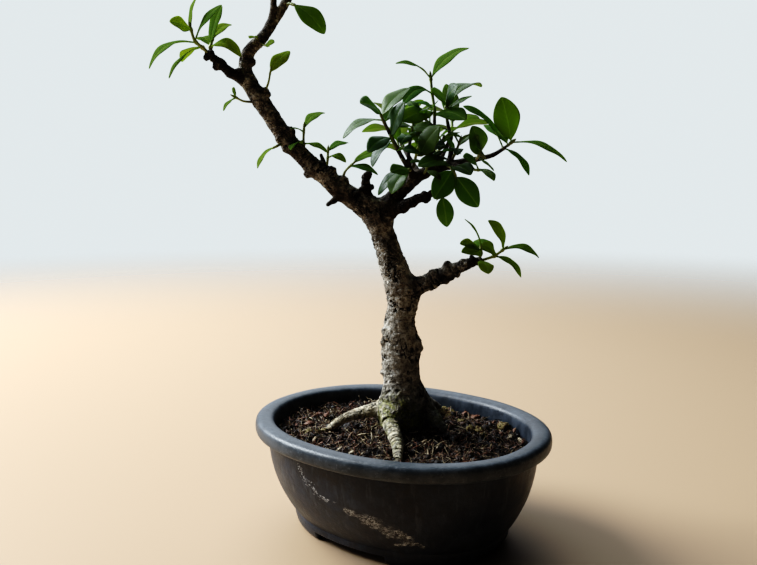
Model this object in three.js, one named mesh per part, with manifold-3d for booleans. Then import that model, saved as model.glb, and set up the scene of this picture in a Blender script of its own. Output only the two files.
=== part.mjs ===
// A small bonsai tree growing in an oval pot. Millimetres, +Z up, the pot's long side along X.
import * as THREE from 'three';
import { mergeVertices } from 'three/addons/utils/BufferGeometryUtils.js';
import Module from 'manifold-3d';

const wasm = await Module();
wasm.setup();

// ---- Driving dimensions ------------------------------------------------------------------------

const CLEAR = 0.3; // between pieces that touch
const POT = {
  halfLength: 90,
  halfWidth: 73,
  height: 65,
  power: 2.15, // of the superellipse that the pot is in plan: 2 is an ellipse
  wall: 4,
  wallInset: 7.6, // the wall stands this far in under the lip
  lipBottom: 55.5,
  lipWidth: 11.2,
  ledge: 9, // the height of the foot ring
  ledgeInset: 22.6,
  bellyPower: 2.2,
  underside: 5,
  floor: 11,
  footInset: 26.5,
  footWidth: 7,
  sides: 40,
};
const FOOT_GAP = { height: 5.8, frontHalf: 24, endHalf: 17, corner: 3 };
const DRAIN = { radius: 7, apart: 64, meshSide: 22, meshThick: 1, cells: 3, cell: 5 };
const SOIL = { rim: 54, mound: 6.5, moundReach: 27, lump: 0.9, floorGap: 0.3 };
const LEAF = { thick: 0.6, petiole: 0.5, tip: 0.4, stalk: 0.07, blunt: 0.88, full: 0.8 };
const LEAF_STATIONS = [0, 0.2, 0.5, 0.8, 1];
const STEM_SIDES = 4;

// The plant is laid out as it is seen from one side. A place on it is [px, py, near]: px and py are pixels
// to the right and down in a picture 757 wide and 565 high, and near is how many mm the place stands nearer
// to the eye than the trunk's foot does. VIEW says where the eye is.
const VIEW = {
  focal: 800,
  middle: [378.5, 282.5],
  tilt: THREE.MathUtils.degToRad(7.7),
  turn: THREE.MathUtils.degToRad(37),
  eyeHeight: 207,
  potAcross: 12,
  potAway: 455,
  trunkAway: 461,
};

// A point of the plant, in mm from the middle of the pot's foot, for a place in the picture.
function at([px, py, near = 0]) {
  const right = (px - VIEW.middle[0]) / VIEW.focal;
  const up = (VIEW.middle[1] - py) / VIEW.focal;
  const forward = Math.cos(VIEW.tilt) + up * Math.sin(VIEW.tilt);
  const rise = up * Math.cos(VIEW.tilt) - Math.sin(VIEW.tilt);
  const away = VIEW.trunkAway - near;
  const reach = away / forward;
  return fromView(reach * right - VIEW.potAcross, away - VIEW.potAway, VIEW.eyeHeight + reach * rise);
}

// Turns a vector given to the right, away and up, as seen, to the part's own axes.
function fromView(across, away, up) {
  const c = Math.cos(VIEW.turn);
  const s = Math.sin(VIEW.turn);
  return new THREE.Vector3(across * c - away * s, across * s + away * c, up);
}

// ---- The wood: each limb is a list of [px, py, near, radius] along its middle -----------------------

const LIMBS = {
  trunk: [
    [404, 468, 0, 8], [404, 448, 0, 13], [404, 430, 1, 15], [403.5, 417, 2, 14.6], [403.5, 404, 3, 13],
    [402.5, 392, 3, 11.7], [402, 380, 3, 10.5], [401, 366, 3, 10.6], [400.5, 351, 3, 11], [400, 338, 3, 10.5],
    [399.5, 325, 3, 9.2], [401.5, 312, 3, 8.6], [403, 300, 3, 8.8], [400.5, 287, 3, 8.8], [396.5, 274, 2, 8.2],
    [391, 259, 1, 7.6], [386, 244, 0, 7.2], [381.5, 230, -1, 7.1], [376.5, 217, -1, 7.6], [367, 207, 0, 7.4],
    [355, 199.5, 1, 6.3], [341, 190, 3, 5.8], [326, 177, 4, 5.2], [313, 166.5, 5, 5.2], [301.5, 155, 5, 4.7],
    [293, 146, 5, 4.8], [283.5, 134.5, 5, 4.7], [273.5, 119.5, 5, 4.8], [265, 107, 5, 4.9], [257.5, 96, 5, 4.9],
    [249.5, 83, 5, 4.4], [245.5, 71, 4, 3.8], [245.5, 60, 4, 3.4], [250.5, 49.5, 4, 3.4], [260, 40.5, 4, 3.2],
    [267, 31.5, 4, 2.8], [274, 21, 4, 2.7], [281, 10, 4, 2.6], [287, 0, 4, 2.4], [294, -16, 3, 2.2],
    [299, -34, 1, 1.9], [300, -52, -2, 1.5], [297, -68, -4, 1.1],
  ],
  left_root: [
    [394, 404, 0, 7], [381, 407.5, 0, 4.7], [366, 410.5, 2, 3.6], [352, 416.5, 4, 3.2], [340, 421, 6, 2.8],
    [330, 428, 8, 2.5], [319, 436, 12, 2],
  ],
  front_root: [
    [396, 408, 8, 8], [391, 422, 15, 5.2], [394, 433, 24, 4.2], [397.5, 446, 36, 3.4], [398, 455, 44, 2.8],
    [397, 462, 51, 2.1], [394, 470, 55, 1.4],
  ],
  right_root: [
    [413, 400, 3, 8], [424, 408, 4, 6], [433, 417, 6, 4.6], [442, 428, 9, 3.2],
  ],
  back_root: [
    [409, 404, -4, 8], [418, 402, -16, 5.4], [428, 402, -29, 3.6], [438, 407, -41, 2.2],
  ],
  side_root: [
    [398, 404, -4, 8], [386, 402, -17, 5.2], [373, 402, -31, 3.5], [363, 406, -42, 2.1],
  ],
  lower_branch: [
    [402, 293, 3, 6.6], [414, 288, 4, 5.5], [425, 283.5, 6, 4.9], [436, 278.5, 7, 4.6], [447, 273, 9, 4.2],
    [459, 267.5, 10, 3.4], [470, 263.5, 12, 2.8], [479, 260.5, 12, 2],
  ],
  crown_branch: [
    [380, 217, 0, 6.6], [388, 206, 1, 6.3], [398, 196, 3, 5.5], [408, 186, 4, 4.7], [418, 177, 4, 3.9],
    [430, 170, 3, 3.3], [445, 166, 2, 2.9], [462, 162, 1, 2.4], [478, 159, 0, 2], [493, 155, 0, 1.6],
    [503, 149, 0, 1.3],
  ],
  crown_stub: [
    [394, 205, 2, 4.6], [405, 203, 6, 4.2], [414, 197.5, 8, 3.6], [423, 193, 9, 3], [431, 195, 9, 1.7],
  ],
  fork_stub: [
    [368, 206, 0, 4.4], [366.5, 193, 2, 3.3], [365.5, 183, 2, 3], [367, 175, 2, 2.2],
  ],
  left_twig: [
    [248, 82, 5, 3.4], [238, 77, 7, 2.9], [226.5, 69.5, 9, 2.6], [216.5, 60.5, 11, 2.3], [208, 53, 12, 1.7],
  ],
  top_twig: [
    [270, 27, 4, 2.4], [273, 13, 6, 2], [273, -4, 9, 1.7], [267, -22, 12, 1.4], [258, -36, 14, 1],
  ],
  peak_twig: [
    [294, -16, 3, 2], [307, -28, 8, 1.6], [321, -37, 12, 1.3], [332, -48, 14, 1],
  ],
  crown_upright: [
    [428, 171, 3, 2.7], [432, 158, 4, 2.3], [434, 143, 3, 2], [434.5, 128, 1, 1.5], [434.5, 117, 0, 1.1],
  ],
  crown_second: [
    [449, 165, 2, 2.3], [451, 151, 2, 2], [450, 136, 1, 1.5], [447.5, 122, 1, 1.1],
  ],
  crown_left_twig: [
    [415, 180, 4, 2.8], [408, 168, 6, 2], [399, 152, 10, 1.6], [391, 136, 14, 1.3], [385, 124, 17, 1],
  ],
  crown_inner_twig: [
    [412, 176, 5, 2], [409, 163, 7, 1.5], [409, 148, 8, 1.2], [411.5, 133, 9, 0.9],
  ],
  crown_back_twig: [
    [436, 169, 2, 2.6], [441, 158, -10, 2.1], [447, 146, -21, 1.6], [452, 135, -30, 1.1],
  ],
  crown_far_twig: [
    [420, 176, 3, 2.6], [413, 164, -9, 2], [406, 152, -20, 1.5], [400, 140, -29, 1],
  ],
  crown_front_twig: [
    [452, 165, 2, 2.2], [462, 168, 12, 1.7], [473, 169, 21, 1.1],
  ],
  low_stub: [[342, 195, 4, 3], [335, 199.5, 7, 1.7], [328, 204.5, 9, 1.2]],
  side_spur: [[327, 175, 4, 3], [324.5, 165, 3, 1.6], [321, 155, 3, 0.9]],
};
const LIMB_SIDES = { trunk: 10, crown_branch: 7, lower_branch: 7, left_root: 6, front_root: 6, right_root: 6 };
const TWIG_SIDES = 5;

// Knots and old bud scars: [px, py, near, radius], each a small ball sunk in the bark.
const KNOTS = [
  [384, 335, 6, 3.6], [417, 345, 5, 4], [434, 274, 9, 2.6], [446, 278, 9, 2.4], [406, 206, 7, 4],
  [284, 144, 7, 3], [340, 180, 4, 2.6], [264.5, 91, 6, 2.6], [426, 178, 5, 2.4],
];

// ---- The leafy shoots --------------------------------------------------------------------------------
// A stem is a list of [px, py, near, radius]. A leaf is [base, tip, width, face, arch]: its two ends as
// places, its width in mm, the way that its upper side faces (to the right, up, and to the eye), and how
// far its middle stands off the straight line between its ends, as a share of its length.

const SHOOTS = {
  shoot_crown_top: {
    stems: [[[434.5, 120, 0, 0.9], [434.5, 110, 0, 0.8], [432, 92, 0, 0.8], [430.5, 76, 0, 0.7]]],
    leaves: [
      [[431, 77, 0], [469, 48, -6], 12.5, [-0.55, 0.65, 0.55], 0.13],
      [[430, 77, 0], [395.5, 63.5, 6], 11, [0.15, 0.95, 0.25], 0.16],
      [[432, 95, 0], [403, 105, 8], 10, [-0.1, 0.8, 0.55], 0.3],
      [[434, 109, -1], [403, 108, -12], 10, [0, 1, 0.15], 0.15],
      [[434, 113, 1], [402, 121, 16], 14, [0, 0.75, 0.65], 0.1],
      [[434.5, 115, 0], [466, 120, 27], 13, [0, 0.65, 0.75], 0.1],
    ],
  },
  shoot_crown_second: {
    stems: [[[447.7, 124, 1, 0.9], [446.5, 114, 3, 0.8], [446.5, 105, 4, 0.7]]],
    leaves: [
      [[446.5, 108, 4], [431, 91, 20], 11, [0.15, 0.55, 0.8], 0.1],
      [[447, 107, 4], [458, 86, 22], 13, [-0.2, 0.45, 0.85], 0.1],
      [[447, 106, 3], [481.5, 87, -10], 12, [-0.1, 0.9, 0.35], 0.22],
      [[447, 110, 3], [472, 96, 9], 6, [-0.2, 0.8, 0.5], 0.05],
    ],
  },
  shoot_crown_left: {
    stems: [[[386, 126, 17, 0.9], [383, 120, 18, 0.7], [380, 113, 19, 0.6]]],
    leaves: [
      [[380.5, 115, 19], [360, 103, 33], 13, [-0.2, 0.5, 0.8], 0.1],
      [[383, 121, 18], [343, 138.5, 22], 11.5, [-0.1, 0.95, 0.3], 0.17],
      [[382, 117, 18], [410, 88, 11], 13.5, [-0.35, 0.5, 0.8], 0.1],
      [[384, 123, 17], [396, 108, -4], 11, [0.2, 0.9, 0.2], 0.12],
    ],
  },
  shoot_crown_mid_left: {
    stems: [[[397, 149, 11, 0.8], [393, 142, 14.5, 0.7], [391.5, 138, 16.5, 0.6]]],
    leaves: [
      [[392, 138, 16], [405, 104, 27], 10, [-0.5, 0.35, 0.8], 0.1],
      [[391.5, 139, 16.5], [368, 152.5, 26], 11, [-0.15, 0.75, 0.65], 0.18],
      [[392, 141, 15], [372.5, 167, 24], 10, [-0.65, 0.5, 0.6], 0.15],
    ],
  },
  shoot_crown_low_left: {
    stems: [[[409, 171, 8, 0.9], [410, 170, 13, 0.8], [409, 170, 16, 0.7]]],
    leaves: [
      [[410, 170, 15], [391.5, 194, 22], 12, [-0.5, 0.6, 0.65], 0.12],
      [[409, 170, 16], [390.5, 172, 27], 10, [-0.35, 0.35, 0.85], 0.1],
      [[409.5, 170, 14], [378, 195, 9], 9.5, [-0.5, 0.6, 0.6], 0.15],
    ],
  },
  shoot_crown_inner: {
    stems: [[[410.5, 140, 8.5, 0.8], [412, 130, 11, 0.7], [413, 125, 12, 0.6]]],
    leaves: [
      [[412, 128, 11], [396, 127, 22], 9, [-0.1, 0.75, 0.6], 0.14],
      [[412.5, 127, 12], [433, 131, 20], 10, [0.1, 0.6, 0.75], 0.12],
      [[411, 136, 10], [401, 144, 21], 9, [-0.3, 0.5, 0.8], 0.14],
      [[411, 134, 9.5], [424, 137, 20], 9, [0.3, 0.5, 0.8], 0.2],
    ],
  },
  shoot_crown_heart: {
    stems: [[[432, 156, 4, 0.9], [427, 154, 12, 0.8], [420, 155, 18, 0.7]]],
    leaves: [
      [[420, 155, 18], [440, 126, 29], 14.5, [-0.45, 0.25, 0.9], 0.12],
      [[427, 154, 12], [445, 146, 24], 11, [0.1, 0.6, 0.7], 0.14],
      [[422, 155, 17], [404, 151, 27], 10, [-0.2, 0.6, 0.7], 0.16],
    ],
  },
  shoot_crown_low: {
    stems: [
      [[447, 166, 4, 0.9], [451, 167, 10, 0.8], [454, 172, 12, 0.8], [455.5, 181, 11, 0.7],
        [449, 189, 11, 0.6], [440, 197, 11.5, 0.5]],
    ],
    leaves: [
      [[451.5, 167, 10], [418, 166.5, 33], 11.5, [0, 0.7, 0.7], 0.12],
      [[453, 170, 11], [434, 199, 18], 13, [0.1, 0.2, 1], 0.08],
      [[455, 175, 12], [478.5, 207, 13], 12.5, [-0.2, 0.25, 0.95], 0.08],
      [[440.5, 196.5, 11.5], [447, 227, 12.5], 10, [0.1, 0.15, 1], 0.08],
      [[453, 168, 11], [471, 175, 27], 11.5, [0.1, 0.7, 0.7], 0.14],
    ],
  },
  shoot_crown_right: {
    stems: [[[501, 150, 0, 0.9], [507, 146, 0, 0.8], [512, 142, 0, 0.7]]],
    leaves: [
      [[512, 142, 0], [501.5, 97, 3], 15.5, [0.15, 0.1, 1], 0.06],
      [[511.5, 142, 0], [567, 162, -3], 11.5, [0.25, 0.95, 0.3], 0.13],
      [[504, 149, 1], [529, 175.5, 7], 11, [0.55, 0.75, 0.4], 0.15],
      [[508, 145, -1], [484, 125, -17], 9.5, [0, 0.9, 0.35], 0.1],
      [[503, 149, -1], [463, 106, -5], 13, [0.6, 0.7, 0.25], 0.12],
    ],
  },
  shoot_crown_right_low: {
    stems: [[[476, 159.5, 1, 0.8], [478, 157, 6, 0.7], [479, 155, 9, 0.6]]],
    leaves: [
      [[479, 155, 9], [483, 147, 25], 13, [0.1, 0.35, 0.9], 0.1],
      [[478.5, 156, 8], [488, 134, 21], 13, [0.1, 0.4, 0.9], 0.12],
      [[478, 157.5, 5], [494, 171, 10], 6, [0.5, 0.8, 0.3], 0.05],
    ],
  },
  shoot_crown_front: {
    stems: [[[471, 169, 20, 0.8], [476, 170, 25, 0.7], [479, 170, 28, 0.6]]],
    leaves: [
      [[479, 170, 28], [494, 181, 40], 8, [0.2, 0.85, 0.5], 0.16],
      [[478, 170, 27], [463, 157, 40], 9, [0, 0.6, 0.75], 0.12],
    ],
  },
  shoot_cluster_outer: {
    stems: [[[211, 56, 11.5, 1], [203, 48, 14, 0.9], [195, 41, 17, 0.8], [190, 26, 18, 0.7]]],
    leaves: [
      [[197, 43, 16.3], [149, 69, 25], 11.5, [-0.25, 0.9, 0.4], 0.2],
      [[202, 47, 14.3], [169, 78.5, 26], 9.5, [-0.65, 0.7, 0.35], 0.13],
      [[203, 47.5, 14], [182, 62, 0], 9, [-0.3, 0.95, 0], 0.14],
      [[191.3, 30.5, 17.7], [169.5, 21.5, 27], 10.5, [-0.1, 0.5, 0.85], 0.1],
      [[190, 27, 18], [199, -7, 13], 9, [-0.8, 0.2, 0.45], 0.08],
      [[195.5, 41.5, 17], [222, 5, 24], 8.5, [-0.7, 0.45, 0.5], 0.1],
    ],
  },
  shoot_cluster_inner: {
    stems: [[[211.5, 57, 11, 1], [210.5, 48, 11, 0.8], [213, 38, 10, 0.7]]],
    leaves: [
      [[211.5, 45, 11.6], [222, 6, 12], 9.5, [-0.7, 0.1, 0.65], 0.06],
      [[211, 47.5, 12], [241, 57, 19], 11.5, [0.15, 0.75, 0.65], 0.26],
      [[213, 38.5, 10], [231, 24.5, -2], 9, [0, 0.9, 0.3], 0.12],
      [[211, 47, 12], [200, 40, -6], 10, [-0.2, 0.95, 0], 0.16],
    ],
  },
  shoot_left_side: {
    stems: [[[252, 102, 6, 0.7], [243, 101, 10, 0.6], [235, 97, 12, 0.5]]],
    leaves: [
      [[236, 97.5, 12], [223.5, 111, 17], 5.5, [-0.5, 0.8, 0.4], 0.12],
      [[235.5, 97.5, 12], [234, 87, 15], 4, [-0.7, 0.1, 0.6], 0.1],
    ],
  },
  shoot_left_under: {
    stems: [[[283, 143, 8, 0.8], [278, 145.5, 10, 0.7], [275, 147, 11, 0.6]]],
    leaves: [
      [[276.5, 146.5, 10.5], [257.5, 168.5, 15], 7, [-0.7, 0.6, 0.45], 0.14],
    ],
  },
  shoot_left_middle: {
    stems: [[[304, 151, 5, 0.8], [303.5, 140, 5, 0.7], [304, 127, 5, 0.6]]],
    leaves: [
      [[304, 128, 5], [325, 113, 0], 9, [-0.3, 0.8, 0.5], 0.2],
      [[303.5, 133, 5], [290, 129, 10], 5, [0, 0.95, 0.3], 0.15],
      [[303.7, 145, 5], [291, 151, 16], 8, [-0.1, 0.75, 0.6], 0.2],
      [[303.7, 144, 5], [327, 152.5, 9], 8.5, [0.1, 0.95, 0.25], 0.12],
    ],
  },
  shoot_left_spur: {
    stems: [[[326, 171, 4, 0.8], [327.5, 161, 5, 0.7], [328, 150, 5, 0.6]]],
    leaves: [
      [[328, 151, 5], [348.5, 143, 0], 8, [-0.1, 0.9, 0.45], 0.18],
      [[328, 158, 5], [346, 162.5, 10], 6, [0, 0.9, 0.45], 0.25],
    ],
  },
  shoot_left_near_fork: {
    stems: [[[342, 180, 4, 0.9], [345.5, 171, 5, 0.7], [353, 163.5, 6, 0.6]]],
    leaves: [
      [[352, 164.5, 6], [381, 153, 1], 9, [-0.15, 0.9, 0.45], 0.12],
      [[350, 166.5, 6], [378, 175, 11], 7.5, [0.1, 0.85, 0.5], 0.14],
    ],
  },
  shoot_leader_side: {
    stems: [[[262, 97, 7, 0.7], [268, 84, 8.5, 0.6], [270.5, 71, 8, 0.5]]],
    leaves: [[[270.5, 72, 8], [289.5, 51, 1], 10, [-0.2, 0.6, 0.75], 0.1]],
  },
  shoot_leader_bud: {
    stems: [[[260, 42, 5, 0.6], [264, 45, 8, 0.5], [266, 45.5, 9, 0.5]]],
    leaves: [[[265.5, 45.5, 9], [274.5, 42.5, 14], 5.5, [0.1, 0.4, 0.9], 0.1]],
  },
  shoot_leader_left: {
    stems: [[[259, 41, 5, 0.6], [257, 38, 8.5, 0.5]]],
    leaves: [[[257.3, 38.5, 8], [249.5, 38.5, 14], 5, [-0.1, 0.8, 0.5], 0.15]],
  },
  shoot_leader_right: {
    stems: [[[284, 6, 4, 0.9], [289, 3.5, 7, 0.8], [293, 4.5, 9, 0.7]]],
    leaves: [
      [[293, 4.5, 9], [324.5, 34, 17], 12.5, [0.25, 0.5, 0.8], 0.12],
    ],
  },
  shoot_lower_end: {
    stems: [
      [[476, 261.5, 12, 0.9], [486, 259, 12.5, 0.8], [495, 255.5, 13, 0.8], [504, 249, 14, 0.7]],
      [[477, 261, 12, 0.8], [481, 255, 12, 0.7], [481, 248, 12, 0.6]],
    ],
    leaves: [
      [[503.5, 249, 14], [488, 220.5, 22], 11, [0.65, 0.45, 0.6], 0.2],
      [[503.5, 249.5, 14], [539, 258, 18], 9.5, [0.25, 0.9, 0.35], 0.2],
      [[494, 256, 13], [521, 277.5, 18], 9.5, [0.55, 0.75, 0.4], 0.16],
      [[481, 249, 12], [464.5, 219, 9], 8, [0.75, 0.5, 0.15], 0.12],
      [[481, 252, 12], [460, 244, 22], 9.5, [0.05, 0.8, 0.6], 0.14],
      [[480.5, 254, 12.5], [461.5, 252.5, 27], 9, [-0.1, 0.5, 0.85], 0.12],
      [[495, 255, 13], [482, 245, 24], 8.5, [-0.1, 0.55, 0.8], 0.12],
      [[494, 256, 12.5], [474, 241, 1], 10, [0, 0.9, 0.4], 0.16],
      [[479.5, 260, 12.5], [488.5, 274, 24], 9, [0.3, 0.5, 0.8], 0.14],
    ],
  },
};

// The shoots at the back and top are regular: leaves leave the stem in turn, each a golden angle on from the
// last, longest at the middle. Each entry is [stem, leaf count, leaf length, first angle].
const REGULAR_SHOOTS = {
  shoot_back_high: [[[451.5, 137, -28, 1], [452, 127, -37, 0.8], [452, 118, -44, 0.7]], 5, 25, 20],
  shoot_back_left: [[[401, 143, -27, 1], [399, 133, -35, 0.8], [398, 124, -42, 0.7]], 5, 24, 70],
  shoot_back_middle: [[[441, 158, -9, 1], [434, 148, -18, 0.8], [428, 139, -25, 0.7]], 4, 22, 240],
  shoot_leader_peak: [[[297.5, -64, -3.5, 1], [296, -77, -5, 0.8], [296, -88, -5, 0.7]], 6, 25, 10],
  shoot_leader_upper: [[[299, -37, 0.5, 1], [288, -41, -10, 0.8], [281, -44, -19, 0.7]], 4, 22, 200],
  shoot_leader_lower: [[[295.5, -22, 3, 1], [301, -22, 12, 0.8], [304, -25, 19, 0.7]], 3, 21, 330],
  shoot_top_twig: [[[259, -34.5, 13.5, 1], [250, -44, 17, 0.8], [243, -50, 19, 0.7]], 6, 25, 90],
  shoot_top_side: [[[273, -6, 9.5, 1], [267, -16, 19, 0.8], [262, -22, 24, 0.7]], 3, 20, 130],
  shoot_peak_twig: [[[330.5, -46.5, 13.5, 1], [338, -56, 16, 0.8], [343, -64, 18, 0.7]], 5, 25, 300],
};
const REGULAR = {
  goldenAngle: 137.5,
  widthShare: 0.46,
  lowest: 0.25,
  highest: 0.96,
  lean: 0.25, // how far the lowest leaf leans along the stem, as a share of how far it stands out
  rise: 0.35,
  upward: 0.8,
  arch: 0.14,
};

// ---- Building tools ------------------------------------------------------------------------------------

// A closed solid through rings of the same number of points, with a fan over each end, or with the last
// ring joined to the first. The rings turn counter-clockwise about the way they advance.
function loft(rings, joined = false) {
  const count = rings[0].length;
  const last = (rings.length - 1) * count;
  const total = rings.length * count;
  const index = [];
  for (let j = 0; j < count; j++) {
    const k = (j + 1) % count;
    for (let from = 0; from < (joined ? total : last); from += count) {
      const to = (from + count) % total;
      index.push(from + j, from + k, to + k, from + j, to + k, to + j);
    }
    if (!joined && j > 0 && k > 0) index.push(0, k, j, last, last + j, last + k);
  }
  const geometry = new THREE.BufferGeometry().setFromPoints(rings.flat());
  geometry.setIndex(index);
  return solid(geometry);
}

function solid(geometry) {
  const bare = geometry.clone();
  bare.deleteAttribute('normal');
  bare.deleteAttribute('uv');
  const merged = mergeVertices(bare, 1e-4);
  const vertProperties = new Float32Array(merged.attributes.position.array);
  const triVerts = new Uint32Array(merged.index.array);
  return new wasm.Manifold(new wasm.Mesh({ numProp: 3, vertProperties, triVerts }));
}

// The largest of a solid's bodies: scraps that a cut leaves loose are dropped.
function largest(made) {
  return made.decompose().sort((a, b) => b.volume() - a.volume())[0];
}

function mesh(name, made, material) {
  const { vertProperties, triVerts } = made.getMesh();
  const geometry = new THREE.BufferGeometry();
  geometry.setAttribute('position', new THREE.BufferAttribute(vertProperties, 3));
  geometry.setIndex(new THREE.BufferAttribute(triVerts, 1));
  geometry.computeVertexNormals();
  const result = new THREE.Mesh(geometry, material);
  result.name = name;
  return result;
}

function material(color, roughness, metalness = 0) {
  return new THREE.MeshStandardMaterial({ color, roughness, metalness });
}

function limbCurve(places) {
  return new THREE.CatmullRomCurve3(places.map(at), false, 'centripetal');
}

// A round limb along a smooth curve through its places, its radius changing from each to the next. grow
// makes it that much larger all round, for the clearance that is cut in what touches it.
function limb(places, sides, grow = 0) {
  const curve = limbCurve(places);
  const steps = places.length - 1;
  const frames = curve.computeFrenetFrames(steps, false);
  const rings = places.map(([, , , radius], i) => {
    const centre = curve.getPoint(i / steps);
    const tangent = curve.getTangent(i / steps);
    if (i === 0) centre.addScaledVector(tangent, -grow);
    if (i === steps) centre.addScaledVector(tangent, grow);
    const side = frames.normals[i].clone().projectOnPlane(tangent).normalize();
    const other = new THREE.Vector3().crossVectors(tangent, side);
    return Array.from({ length: sides }, (_, j) => {
      const turn = (2 * Math.PI * j) / sides;
      const point = centre.clone().addScaledVector(side, (radius + grow) * Math.cos(turn));
      return point.addScaledVector(other, (radius + grow) * Math.sin(turn));
    });
  });
  return loft(rings);
}

function ball([px, py, near, radius], grow = 0) {
  const shape = new THREE.IcosahedronGeometry(radius + grow, 1);
  shape.translate(...at([px, py, near]).toArray());
  return solid(shape);
}

// ---- The pot ---------------------------------------------------------------------------------------------

// One ring of the pot in plan: the superellipse drawn in by inset, at height z.
function ovalRing(inset, z, sides = POT.sides) {
  const power = 2 / POT.power;
  return Array.from({ length: sides }, (_, j) => {
    const turn = (2 * Math.PI * j) / sides;
    const [c, s] = [Math.cos(turn), Math.sin(turn)];
    return new THREE.Vector3(
      (POT.halfLength - inset) * Math.sign(c) * Math.abs(c) ** power,
      (POT.halfWidth - inset) * Math.sign(s) * Math.abs(s) ** power,
      z,
    );
  });
}

// How far in the outer wall stands at height z, between the ledge over the feet and the lip.
function bellyInset(z) {
  const down = (POT.lipBottom - z) / (POT.lipBottom - POT.ledge);
  return POT.wallInset + (POT.ledgeInset - POT.wallInset) * down ** POT.bellyPower;
}

function potProfile(rows) {
  return rows.map(([inset, z]) => ovalRing(inset, z));
}

// The wall with its rolled lip: a ring that stands on the base.
function potWallSolid() {
  const { height, floor, lipBottom, wallInset, lipWidth, wall } = POT;
  const belly = [floor, 14, 21, 30, 42].map((z) => [bellyInset(z), z]);
  const lip = [
    [wallInset, lipBottom], [2, lipBottom + 0.3], [0, lipBottom + 3.4], [0.7, height - 1.6],
    [3.2, height - 0.1], [8, height - 0.3], [lipWidth, height - 3],
  ];
  const inside = [48, 35, 24, 15].map((z) => [bellyInset(z) + wall, z]);
  return loft(potProfile([...belly, ...lip, ...inside, [bellyInset(floor) + 2 * wall, floor]]), true);
}

// The base: a thick floor whose edge is the ledge over the feet, with two drain holes through it.
function potBaseSolid() {
  const { floor, underside, ledge, ledgeInset } = POT;
  const rows = [[ledgeInset + 0.5, underside], [ledgeInset, ledge], [bellyInset(floor), floor]];
  const holes = [-1, 1].map((side) => {
    const hole = new THREE.CylinderGeometry(DRAIN.radius, DRAIN.radius, 3 * floor, 16);
    hole.rotateX(Math.PI / 2);
    hole.translate((side * DRAIN.apart) / 2, 0, 0);
    return solid(hole);
  });
  return wasm.Manifold.difference([loft(potProfile(rows)), ...holes]);
}

// The four feet: what the notches leave of the ring under the base. Each is named for where it stands.
function potFeet() {
  const { underside, ledgeInset, footInset, footWidth } = POT;
  const ring = loft(potProfile([
    [footInset + footWidth + 1, underside], [footInset + footWidth, 0], [footInset, 0],
    [footInset - 2, 1.2], [ledgeInset + 0.7, 4.2], [ledgeInset + 0.5, underside],
  ]), true);
  const gaps = [footGap(FOOT_GAP.frontHalf, 0), footGap(FOOT_GAP.endHalf, Math.PI / 2)];
  return wasm.Manifold.difference([ring, ...gaps]).decompose().map((foot) => {
    const { min, max } = foot.boundingBox();
    const end = min[1] + max[1] < 0 ? 'front' : 'back';
    return [`pot_foot_${end}_${min[0] + max[0] < 0 ? 'left' : 'right'}`, foot];
  });
}

// The notch through the foot ring between two feet, with rounded upper corners, on both sides of the pot.
function footGap(half, turn) {
  const { height, corner } = FOOT_GAP;
  const outline = new THREE.Shape();
  outline.moveTo(-half, -5);
  outline.lineTo(half, -5);
  outline.lineTo(half, height - corner);
  outline.absarc(half - corner, height - corner, corner, 0, Math.PI / 2);
  outline.absarc(corner - half, height - corner, corner, Math.PI / 2, Math.PI);
  const depth = 4 * POT.halfLength;
  const notch = new THREE.ExtrudeGeometry(outline, { depth, bevelEnabled: false, curveSegments: 3 });
  notch.translate(0, 0, -2 * POT.halfLength);
  notch.rotateX(Math.PI / 2);
  notch.rotateZ(turn);
  return solid(notch);
}

// A square of plastic mesh over a drain hole, with a grid of square openings.
function drainMeshSolid(side) {
  const { apart, meshSide, meshThick, cells, cell } = DRAIN;
  const middle = POT.floor + CLEAR + meshThick / 2;
  const plate = new THREE.BoxGeometry(meshSide, meshSide, meshThick);
  plate.translate((side * apart) / 2, 0, middle);
  const pitch = meshSide / (cells + 0.4);
  const cuts = [];
  for (let i = 0; i < cells; i++)
    for (let j = 0; j < cells; j++) {
      const cut = new THREE.BoxGeometry(cell, cell, 3 * meshThick);
      const shift = (k) => (k - (cells - 1) / 2) * pitch;
      cut.translate((side * apart) / 2 + shift(i), shift(j), middle);
      cuts.push(solid(cut));
    }
  return wasm.Manifold.difference([solid(plate), ...cuts]);
}

// ---- The soil --------------------------------------------------------------------------------------------

const TRUNK_FOOT = at([404, 425, 0]);

// The height of the soil: level at the pot's wall, heaped at the trunk, and lumpy.
function soilHeight(x, y) {
  const away = Math.hypot(x - TRUNK_FOOT.x, y - TRUNK_FOOT.y) / SOIL.moundReach;
  const lumps = Math.sin(0.31 * x + 1.1) * Math.sin(0.27 * y) + Math.sin(0.17 * x - 0.23 * y);
  return SOIL.rim + SOIL.mound * Math.exp(-away * away) + SOIL.lump * lumps;
}

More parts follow.
